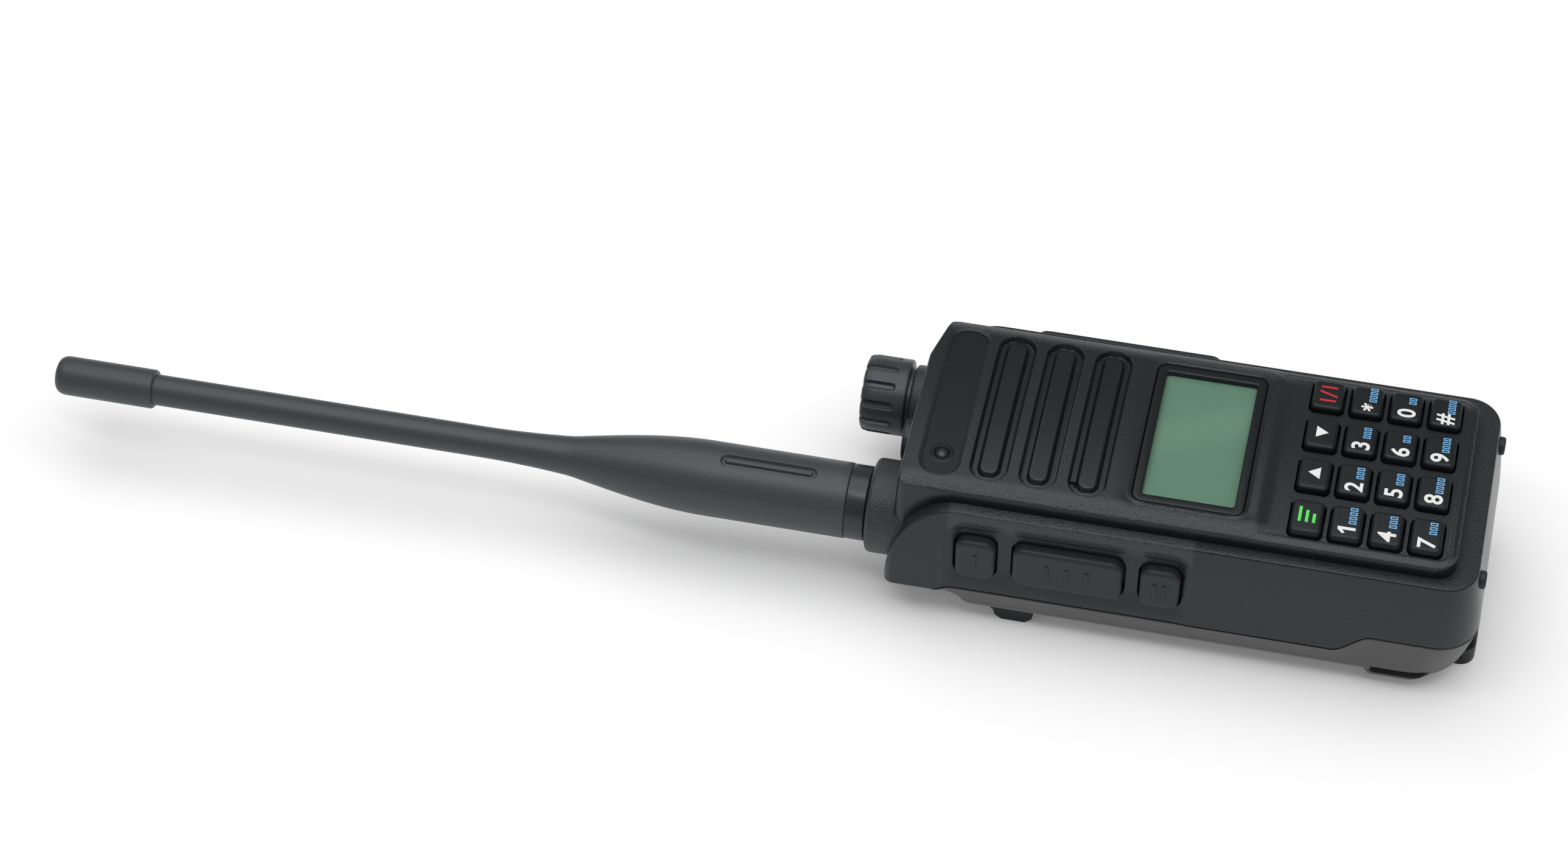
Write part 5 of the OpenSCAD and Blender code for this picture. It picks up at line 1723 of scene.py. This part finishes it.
class Mark(Enum):
    """Generic marks that stand on the keys."""

    BLOCKS = "blocks"
    ONE = "one"
    MENU = "menu"
    SLASH = "slash"
    UP = "up"
    DOWN = "down"


def oblong(x: Pair, y: Pair) -> Outline:
    """Outline of a rectangle between two values of x and two of y."""
    return [(x[0], y[0]), (x[1], y[0]), (x[1], y[1]), (x[0], y[1])]


@dataclass
class Keypad:
    """Sixteen rubber keys with plain numbers and generic marks."""

    face: FrontFace
    base: float = 34.25
    rise: float = 0.5
    corner_r: float = 1.1
    fillet: float = 0.85
    number_h: float = 3.5
    number_bold: float = 0.1
    number_at: Pair = (0.1, -2.1)
    block_at: Pair = (1.05, 1.55)
    block_pitch: float = 1.08
    block_half: Pair = (0.74, 0.4)
    block_line: float = 0.24
    ink: float = 0.03
    names: tuple[tuple[str, ...], ...] = (
        ("function", "up", "down", "band"),
        ("1", "2", "3", "star"),
        ("4", "5", "6", "0"),
        ("7", "8", "9", "hash"))
    signs: dict[str, str] = field(default_factory=lambda: {"star": "*", "hash": "#"})
    blocks: dict[str, int] = field(default_factory=lambda: {
        "1": 4, "2": 3, "3": 3, "star": 4, "4": 3, "5": 3, "6": 2, "0": 2, "7": 3, "8": 4, "9": 4,
        "hash": 4})
    marks: dict[str, tuple[Mark, Finish]] = field(default_factory=lambda: {
        "function": (Mark.MENU, LEGEND_GREEN), "band": (Mark.SLASH, LEGEND_RED),
        "up": (Mark.UP, LEGEND_WHITE), "down": (Mark.DOWN, LEGEND_WHITE)})

    def build(self) -> list[Piece]:
        """Builds every key and its print.

        Returns:
            The caps, each with its print after it.
        """
        made = []
        for row, names in enumerate(self.names):
            for column, name in enumerate(names):
                middle = self.face.key_middle(row, column)
                made.append(self._cap(name, middle))
                made.extend(self._print(name, middle))
        return made

    def top(self, x: Array, y: Array) -> Array:
        """Height of the key tops, which follow the crown and so don't vary along x."""
        return self.face.crown(y) + self.rise

    def _cap(self, name: str, middle: Pair) -> Piece:
        """Key cap with a rounded top edge.

        Args:
            name: Key name.
            middle: Bench x and y of its middle.

        Returns:
            The cap.
        """
        node = f"key_{name}"
        shell = Shell().cushion(
            Facing.FRONT, middle, self.face.key_half, self.corner_r, self.base, self.top, self.fillet)
        return shell.piece(f"{node}_cap", node, KEY_RUBBER, node)

    def _print(self, name: str, middle: Pair) -> list[Piece]:
        """Print of one key: a number with a row of small blue marks, or one mark.

        Args:
            name: Key name.
            middle: Bench x and y of the key's middle.

        Returns:
            The printed pieces.
        """
        if name in self.marks:
            return [self._mark(name, *self.marks[name], middle)]
        x, y = middle
        number_at = (x + self.number_at[0], y + self.number_at[1])
        if name == "1":
            number = self._mark(name, Mark.ONE, LEGEND_WHITE, number_at)
        else:
            number = self._number(name, self.signs.get(name, name), number_at)
        block_at = (x + self.block_at[0], y + self.block_at[1])
        return [number, self._mark(name, Mark.BLOCKS, LEGEND_BLUE, block_at, self.blocks[name])]

    def _number(self, name: str, sign: str, middle: Pair) -> Piece:
        """Number as text made a mesh, then turned so that it reads with the antenna to its left.

        Args:
            name: Key name.
            sign: Character.
            middle: Bench x and y of its middle.

        Returns:
            The printed piece.
        """
        title = f"number_{name}"
        curve = bpy.data.curves.new(title, "FONT")
        curve.body = sign
        curve.size = self.number_h * 1.42 * MM
        curve.extrude = self.ink * MM
        curve.offset = self.number_bold * MM
        text = bpy.data.objects.new(title, curve)
        bpy.context.scene.collection.objects.link(text)
        mesh = bpy.data.meshes.new_from_object(text.evaluated_get(bpy.context.evaluated_depsgraph_get()))
        bpy.data.objects.remove(text)
        mesh.name = title
        flat = np.empty(len(mesh.vertices) * 3, np.float32)
        mesh.vertices.foreach_get("co", flat)
        local = flat.reshape(-1, 3).astype(float) / MM
        local[:, :2] -= (local[:, :2].min(0) + local[:, :2].max(0)) / 2.0
        placed = np.stack([middle[0] - local[:, 1], middle[1] + local[:, 0], local[:, 2]], axis=-1)
        placed[:, 2] += self.top(placed[:, 0], placed[:, 1])
        placed[:, 0] += BENCH_ZERO
        mesh.vertices.foreach_set("co", (placed * MM).astype(np.float32).ravel())
        weld(mesh, 1e-7, 30.0)
        return mount(title, mesh, f"key_{name}", LEGEND_WHITE)

    def _mark(self, name: str, mark: Mark, finish: Finish, middle: Pair, count: int = 1) -> Piece:
        """Mark made of thin straight strokes, each a closed box that follows the key's top.

        Args:
            name: Key name.
            mark: Which mark.
            finish: Its ink.
            middle: Bench x and y of its middle.
            count: How many blocks it has.

        Returns:
            The printed piece.
        """
        shell = Shell()
        for corners in self._strokes(mark, count):
            plan = np.array(corners) + np.array(middle)
            z = self.top(plan[:, 0], plan[:, 1])
            low = np.column_stack([plan, z - self.ink])
            high = np.column_stack([plan, z + self.ink])
            shell.tube(np.stack([low, high]), 0.0)
        return shell.piece(f"{mark.value}_{name}", f"key_{name}", finish)

    def _strokes(self, mark: Mark, count: int) -> list[Outline]:
        """Outlines of a mark's strokes as (x, y) about its middle; the antenna is towards lower x.

        Args:
            mark: Which mark.
            count: How many blocks it has.

        Returns:
            Outlines of the strokes.
        """
        if mark is Mark.UP:
            return [[(-1.3, 0.0), (1.1, -1.5), (1.1, 1.5)]]
        if mark is Mark.DOWN:
            return [[(1.3, 0.0), (-1.1, 1.5), (-1.1, -1.5)]]
        if mark is Mark.MENU:
            return [oblong((v, v + 0.6), (-1.6, 1.2 - v * 0.5)) for v in (-1.7, -0.3, 1.1)]
        if mark is Mark.SLASH:
            bars = [oblong((-1.6, 1.6), (v, v + 0.55)) for v in (-2.2, 1.65)]
            return bars + [[(-1.8, 0.35), (-1.8, 0.9), (1.8, -0.35), (1.8, -0.9)]]
        if mark is Mark.ONE:
            stem = oblong((-1.75, 1.75), (0.1, 0.78))
            return [stem, [(-1.75, 0.1), (-0.75, -0.85), (-0.25, -0.6), (-0.9, 0.1)]]
        return self._open_boxes(count)

    def _open_boxes(self, count: int) -> list[Outline]:
        """Strokes of a row of small open boxes: two long sides and two ends for each.

        Args:
            count: How many boxes there are.

        Returns:
            Outlines of the strokes.
        """
        (half_x, half_y), line = self.block_half, self.block_line
        inner = half_y - line - 0.01
        strokes = []
        for middle in [self.block_pitch * (k - (count - 1) / 2.0) for k in range(count)]:
            for side in SIDES:
                mid = middle + side * (half_y - line / 2.0)
                strokes.append(oblong((-half_x, half_x), (mid - line / 2.0, mid + line / 2.0)))
            for end in (half_x - line, -half_x):
                strokes.append(oblong((end, end + line), (middle - inner, middle + inner)))
        return strokes


# Sides and back


@dataclass
class SideControls:
    """Talk button with its two smaller neighbours, and the accessory cover on the other side."""

    rim: CaseRim
    proud: float = 0.5
    key_base: float = 24.2
    fillet: float = 1.0
    bar_half: Pair = (0.4, 1.9)
    bar_rise: float = 0.25
    cover_r: float = 2.4
    cover_t: float = 1.7
    cover_proud: float = 1.4
    cover_fillet: float = 0.6
    lead_in: float = 3.0
    groove_half: Pair = (0.4, 3.4)
    groove_pitch: float = 1.6
    groove_from_end: float = 3.6
    groove_rise: float = 0.3
    bars: dict[str, tuple[float, ...]] = field(default_factory=lambda: {
        "upper_side_key": (0.0,), "ptt_button": (-4.0, 0.0, 4.0), "lower_side_key": (-0.9, 0.9)})

    def build(self) -> list[Piece]:
        """Builds the three side keys and the cover."""
        keys = [self._key(name, *place) for name, place in zip(self.bars, self.rim.side_keys)]
        return [*keys, self._cover()]

    def _key(self, name: str, mid: float, length: float) -> Piece:
        """Rubber side key with a soft edge and small raised bars.

        Args:
            name: Node, which is the body too.
            mid: Bench x of its middle.
            length: Its length.

        Returns:
            The key.
        """
        rim = self.rim
        out = rim.half_w + self.proud
        shell = Shell().cushion(
            Facing.TALK_SIDE, (mid, rim.side_key_z), (length / 2.0, rim.side_key_h / 2.0), rim.side_key_r,
            self.key_base, flat_top(out), self.fillet, 8, 0.2)
        for offset in self.bars[name]:
            shell.cushion(
                Facing.TALK_SIDE, (mid + offset, rim.side_key_z), self.bar_half, self.bar_half[0],
                out - 0.3, flat_top(out + self.bar_rise), 0.15, 3, 0.2)
        return shell.piece(f"{name}_cap", name, SIDE_RUBBER, name)

    def _cover(self) -> Piece:
        """Accessory cover: a flap that starts on its hinge axis, a round roll there, and finger ridges.

        Returns:
            The cover.
        """
        rim = self.rim
        roll_r = self.cover_t / 2.0
        axis_x, axis_y = rim.cover[0] + roll_r, rim.half_w + self.proud - roll_r
        (mid_x, half_x), (mid_z, half_z) = span((axis_x, rim.cover[1])), span(rim.cover_z)
        out = rim.half_w + self.cover_proud
        shell = Shell().cushion(
            Facing.COVER_SIDE, (mid_x, mid_z), (half_x, half_z), self.cover_r, axis_y - roll_r,
            lambda x, z: out - (out - axis_y - roll_r) * ease(1.0 - (x - axis_x) / self.lead_in),
            self.cover_fillet, 8, 0.3, 24)
        turn = full_turn(32)
        short = self.cover_r / 2.0
        z = np.linspace(rim.cover_z[0] + short, rim.cover_z[1] - short, 8)[:, None]
        roll = np.broadcast_arrays(axis_x + roll_r * np.cos(turn), axis_y + roll_r * np.sin(turn), z)
        shell.tube(np.stack(roll, axis=-1), 0.3)
        for k in range(4):
            x = rim.cover[1] - self.groove_from_end - self.groove_pitch * k
            shell.cushion(
                Facing.COVER_SIDE, (x, mid_z), self.groove_half, self.groove_half[0], out - 0.3,
                flat_top(out + self.groove_rise), 0.2, 3, 0.3)
        return shell.piece("accessory_cover_flap", Body.COVER, SIDE_RUBBER, "accessory_cover")


@dataclass
class Battery:
    """Battery pack under the case: sloped front, drafted sides, rounded back edges, a heel on two lobes."""

    rim: CaseRim
    gap: float = 0.5
    front_x: float = 4.5
    front_slope: float = 6.5
    front_r: float = 5.0
    back_z: float = 4.3
    half_w: float = 26.3
    draft: float = 1.0
    edge_r: float = 2.6
    heel_r: float = 4.2
    heel_lean: float = 1.0
    heel_corner_r: Pair = (8.5, 12.5)
    heel_x: Pair = (95.0, 96.6)
    heel_flare: float = 0.55
    side_y: Pair = (18.0, 22.0)
    groove_x: Pair = (96.6, 107.0)
    groove_z: Pair = (4.2, 7.1)
    groove_depth: float = 2.4
    groove_r: float = 0.6
    groove_soft: float = 0.25
    lobe_x: Pair = (94.8, 109.0)
    lobe_y: Pair = (16.7, 24.6)
    lobe_drop: float = 2.0
    lobe_root: float = 0.6
    lobe_lean: Pair = (1.2, 2.5)
    lobe_corner_r: Pair = (1.0, 3.6)
    lobe_levels: tuple[float, ...] = (0.0, 0.38, 0.58, 0.77, 0.92, 1.0)
    lobe_insets: tuple[float, ...] = (0.0, 0.0, 0.1, 0.5, 1.0, 1.8)
    grain: float = 0.5

    def build(self) -> list[Piece]:
        """Builds the pack with its lobes as one piece.

        Returns:
            The pack alone.
        """
        shell = Shell()
        self._pack(shell)
        for side in SIDES:
            self._lobe(shell, side)
        return [shell.piece("battery_pack", Body.CASE, BATTERY_PALE_PAINTED_SHEEN, "battery_shell")]

    def _rows(self) -> tuple[Array, Array, Array]:
        """Rows of the pack from its top to its back.

        Returns:
            Share of the wall's height, inset and fall below the wall's foot of each row, as columns.
        """
        turn = np.linspace(0.0, QUARTER, 14)[1:]
        wall = np.linspace(0.94, 0.0, 26)
        level = np.concatenate([[1.0, 1.0, 1.0, 1.0, 0.98], wall, np.zeros(15)])
        inset = np.concatenate([
            [self.half_w, 5.0, 0.5, 0.2, 0.0], 0.0 * wall, self.edge_r * (1.0 - np.cos(turn)),
            [12.0, self.half_w]])
        fall = np.concatenate([np.zeros(31), self.edge_r * np.sin(turn), [self.edge_r, self.edge_r]])
        return level[:, None], inset[:, None], fall[:, None]

    def _pack(self, shell: Shell) -> None:
        """Adds the pack: loops that shrink to a line on top and at the back, with the walls between.

        Args:
            shell: Where it is added.
        """
        level, inset, fall = self._rows()
        flat = np.minimum(inset + self.draft * (1.0 - level), self.half_w)
        low = self.front_x + self.front_slope * (1.0 - level) + flat
        end_x = BODY_LEN + self.rim.end_swell - self.heel_lean * (1.0 - level)
        high = end_x - inset * np.where(fall > 0.0, self.heel_r / self.edge_r, 1.0)
        high = np.maximum(high, low + 30.0)
        corner = self.heel_corner_r[0] + (self.heel_corner_r[1] - self.heel_corner_r[0]) * (1.0 - level)
        corner = np.minimum(corner, self.half_w - flat)
        front = np.maximum(self.front_r - flat, 0.0)
        loops = ring(low, high, self.half_w - flat, front, corner, 14, 150)
        x, y = loops[..., 0], loops[..., 1]
        top = self.rim.split(x) - self.gap
        bottom = self.back_z + self.edge_r
        z = bottom + (top - bottom) * level - fall
        side = np.clip((np.abs(y) - self.side_y[0]) / (self.side_y[1] - self.side_y[0]), 0.0, 1.0)
        heel = rise(x, self.heel_x) * self.heel_flare * self.draft * (1.0 - level) * (inset < 2.0) * side
        y = y + np.sign(y) * (heel - self._groove(x, z) * side)
        shell.tube(np.stack([x, y, z], axis=-1), self.grain, first=False, last=False)

    def _groove(self, x: Array, z: Array) -> Array:
        """Depth of the groove along the heel: a soft mask of the distance to a rounded oblong.

        Args:
            x: Bench x.
            z: Height.

        Returns:
            Depth below the wall.
        """
        (mid_x, half_x), (mid_z, half_z) = span(self.groove_x), span(self.groove_z)
        outline = box_distance(x - mid_x, z - mid_z, half_x, half_z, self.groove_r)
        return self.groove_depth * inside(outline, self.groove_soft)

    def _lobe(self, shell: Shell, side: float) -> None:
        """Adds one lobe of the heel: loops that narrow towards its foot, with the groove in its outer side.

        Args:
            shell: Where it is added.
            side: Which side of the clip, as a sign.
        """
        share = np.linspace(0.0, 1.0, 22)[:, None]
        inset = np.interp(share, self.lobe_levels, self.lobe_insets)
        middle, half = span(self.lobe_y)
        low = self.lobe_x[0] + inset + self.lobe_lean[0] * share
        high = self.lobe_x[1] - inset - self.lobe_lean[1] * share
        radii = [np.minimum(radius, half - inset) for radius in self.lobe_corner_r]
        loops = ring(low, high, half - inset, *radii, 8, 40)
        x, y = loops[..., 0], loops[..., 1]
        fall = (self.lobe_drop + self.lobe_root) * share
        z = np.broadcast_to(self.back_z + self.lobe_root - fall, x.shape)
        y = y - self._groove(x, z) * (y > 0.0)
        shell.tube(np.stack([x, side * (middle + y), z], axis=-1), self.grain)


@dataclass
class Bumpers:
    """Two small rubber bumpers on the case's bottom end."""

    radius: float = 1.85
    proud: float = 1.1
    root: float = 0.6
    fillet: float = 0.6
    place: Pair = (18.0, 29.3)

    def build(self) -> list[Piece]:
        """Builds both bumpers as one piece of two turned studs, whose distances run away from the antenna.

        Returns:
            The pair of studs.
        """
        profile = rounded_profile([
            (self.proud, 0.0, 0.0), (self.proud, self.radius, self.fillet), (-self.root, self.radius, 0.0),
            (-self.root, 0.0, 0.0)])
        profile[:, 0] *= -1.0
        shell = Shell()
        for side in SIDES:
            shell.lathe(BODY_LEN, profile, (side * self.place[0], self.place[1]), full_turn(40))
        return [shell.piece("base_bumper_studs", Body.CASE, SIDE_RUBBER, "base_bumpers")]


@dataclass
class ClipParts:
    """Belt clip, its bracket and the battery latch: merged copies of their solids with softened edges."""

    softening: float = 0.35
    sharp: float = 30.0
    bevel_angle: float = 40.0
    nodes: dict[str, tuple[str, Body]] = field(default_factory=lambda: {
        "belt_clip": ("belt_clip_plate", Body.CLIP),
        "clip_bracket": ("clip_bracket_ears", Body.CASE),
        "battery_latch": ("battery_latch_slide", Body.LATCH)})

    def build(self) -> list[Piece]:
        """Builds the softened copies."""
        return [self._soften(node, name, body) for node, (name, body) in self.nodes.items()]

    def _soften(self, node: str, name: str, body: Body) -> Piece:
        """Copies a node's solid, joins its triangles into flat faces and bevels its edges.

        Args:
            node: CAD node.
            name: Name of the piece.
            body: Body that it rides on.

        Returns:
            The softened piece.
        """
        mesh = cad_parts[node].data.copy()
        mesh.name = name
        bm = bmesh.new()
        bm.from_mesh(mesh)
        bmesh.ops.remove_doubles(bm, verts=bm.verts, dist=1e-6)
        bmesh.ops.dissolve_limit(bm, angle_limit=math.radians(0.5), verts=bm.verts, edges=bm.edges)
        bm.to_mesh(mesh)
        bm.free()
        shade(mesh, self.sharp)
        piece = mount(name, mesh, body, CLIP_BLACK, node)
        bevel = piece.modifiers.new("soft_edges", "BEVEL")
        bevel.width = self.softening * MM
        bevel.segments = 2
        bevel.limit_method = "ANGLE"
        bevel.angle_limit = math.radians(self.bevel_angle)
        bevel.use_clamp_overlap = True
        return piece


@dataclass
class InnerWorks:
    """CAD nodes that stay as they are: they only get their finishes."""

    groups: dict[Finish, tuple[str, ...]] = field(default_factory=lambda: {
        STEEL: ("case_screws", "clip_screws", "clip_pin", "clip_spring", "shield_can"),
        ALLOY: ("rear_chassis", "volume_control"),
        DARK_ALLOY: ("volume_shaft",),
        BRASS: ("antenna_socket", "antenna_core", "case_contacts", "battery_contacts"),
        BOARD_GREEN: ("main_board", "side_switches"),
        CELL_BLUE: ("battery_cells",),
        INNER_BLACK: ("keypad_mat", "speaker", "microphone", "accessory_jack", "battery_lid")})

    def build(self) -> list[Piece]:
        """Dresses the nodes."""
        return [
            dress(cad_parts[node], finish) for finish, nodes in self.groups.items() for node in nodes]


# Studio


@dataclass
class Studio:
    """Pale floor, a broad softbox overhead, a slim one in front, grey surroundings and the camera."""

    floor_half: float = 3.0
    floor_z: float = -0.00005
    floor_colour: float = 0.90
    floor_glow: Pair = (0.11, 0.62)
    glow_reach: Pair = (0.45, 2.4)
    softbox_at: Triple = (0.05, 0.10, 0.95)
    softbox_size: Pair = (1.60, 0.80)
    softbox_power: float = 7.0
    strip_at: Triple = (-0.12, -0.34, 0.95)
    strip_size: Pair = (0.90, 0.14)
    strip_power: float = 2.3
    surroundings: float = 0.35
    mirrored: float = 0.30
    lens_mm: float = 100.02
    sensor_mm: float = 36.0
    azimuth: float = 0.2153
    elevation: float = 0.8297
    roll: float = -0.0035
    aim_mm: Triple = (6.370, -15.960, 40.033)
    distance_mm: float = 862.645

    def build(self) -> None:
        """Builds floor, lamps, surroundings and camera."""
        self._floor()
        self._softbox("softbox", self.softbox_at, self.softbox_size, self.softbox_power)
        self._softbox("front_strip", self.strip_at, self.strip_size, self.strip_power)
        self._world()
        self._camera()
        bpy.context.scene.view_settings.view_transform = "Standard"

    def _floor(self) -> None:
        """Pale floor that takes the light and its shadows, and looks paler the further off it is.

        The added glow grows with the distance from the radio, and only the camera and mirroring or clear
        surfaces see it.
        """
        h = self.floor_half
        mesh = bpy.data.meshes.new("floor")
        mesh.from_pydata([(x, y, self.floor_z) for x, y in oblong((-h, h), (-h, h))], [], [(0, 1, 2, 3)])
        floor = bpy.data.objects.new("floor", mesh)
        bpy.context.scene.collection.objects.link(floor)
        made = bpy.data.materials.new("floor_white")
        sheet = NodeSheet(made)
        matt = sheet.add("BsdfDiffuse", {"Color": (*[self.floor_colour] * 3, 1.0)})
        seen = sheet.add("LightPath", output="Is Camera Ray")
        rays = seen.node.outputs
        for ray in ("Is Glossy Ray", "Is Transmission Ray"):
            seen = sheet.add("Math", {0: seen, 1: rays[ray]}, operation="MAXIMUM")
        away = sheet.add("VectorMath", {0: sheet.place}, "Value", operation="LENGTH")
        reach = sheet.remap(away, self.glow_reach, self.floor_glow)
        level = sheet.add("Math", {0: seen, 1: reach}, operation="MULTIPLY")
        glow = sheet.add("Emission", {"Strength": level})
        sheet.surface(sheet.add("AddShader", {0: matt, 1: glow}))
        mesh.materials.append(made)

    @staticmethod
    def _softbox(name: str, place: Triple, size: Pair, power: float) -> None:
        """Overhead softbox that looks at the radio.

        Args:
            name: Name of the lamp.
            place: Where it hangs, in metres.
            size: Its two sides in metres.
            power: Its power in watts.
        """
        lamp = bpy.data.lights.new(name, "AREA")
        lamp.shape = "RECTANGLE"
        lamp.size, lamp.size_y = size
        lamp.energy = power
        holder = bpy.data.objects.new(name, lamp)
        holder.location = place
        holder.rotation_euler = (-Vector(place)).to_track_quat("-Z", "Y").to_euler()
        bpy.context.scene.collection.objects.link(holder)

    def _world(self) -> None:
        """Grey surroundings, with their own level in mirroring surfaces, and white for the camera."""
        world = bpy.data.worlds.new("surroundings")
        bpy.context.scene.world = world
        sheet = NodeSheet(world)
        rays = sheet.add("LightPath").node.outputs
        level: Feed = self.surroundings
        strengths = {"Is Glossy Ray": self.mirrored, "Is Transmission Ray": 1.0, "Is Camera Ray": 1.0}
        for ray, strength in strengths.items():
            level = sheet.remap(rays[ray], (0.0, 1.0), (level, strength))
        white = (1.0, 1.0, 1.0, 1.0)
        sheet.feed(sheet.tree.nodes["Background"], {"Color": white, "Strength": level})

    def _camera(self) -> None:
        """Camera at the photograph's angle: turned by azimuth, elevation and roll, then moved back."""
        data = bpy.data.cameras.new("camera")
        data.lens = self.lens_mm
        data.sensor_width = self.sensor_mm
        data.clip_start = 0.01
        camera = bpy.data.objects.new("camera", data)
        turn = Matrix.Rotation(self.azimuth, 4, "Z") @ Matrix.Rotation(QUARTER - self.elevation, 4, "X")
        turn = turn @ Matrix.Rotation(self.roll, 4, "Z")
        back = Matrix.Translation((0.0, 0.0, self.distance_mm * MM))
        camera.matrix_world = Matrix.Translation(Vector(self.aim_mm) * MM) @ turn @ back
        bpy.context.scene.collection.objects.link(camera)
        bpy.context.scene.camera = camera


def main() -> None:
    """Builds the studio, then the radio's sub-assemblies in order."""
    logging.basicConfig(level=logging.INFO, format="%(name)s: %(message)s")
    Studio().build()
    face, rim = FrontFace(), CaseRim()
    parts: list[SubAssembly] = [
        face, rim, TopEnd(), Antenna(), Display(face), Keypad(face), SideControls(rim), Battery(rim),
        Bumpers(), ClipParts(), InnerWorks()]
    for part in parts:
        for piece in part.build():
            LOG.info("%s: %s, %d faces", type(part).__name__, piece.name, len(piece.data.polygons))
    bpy.context.view_layer.update()


if __name__ == "__main__":
    main()
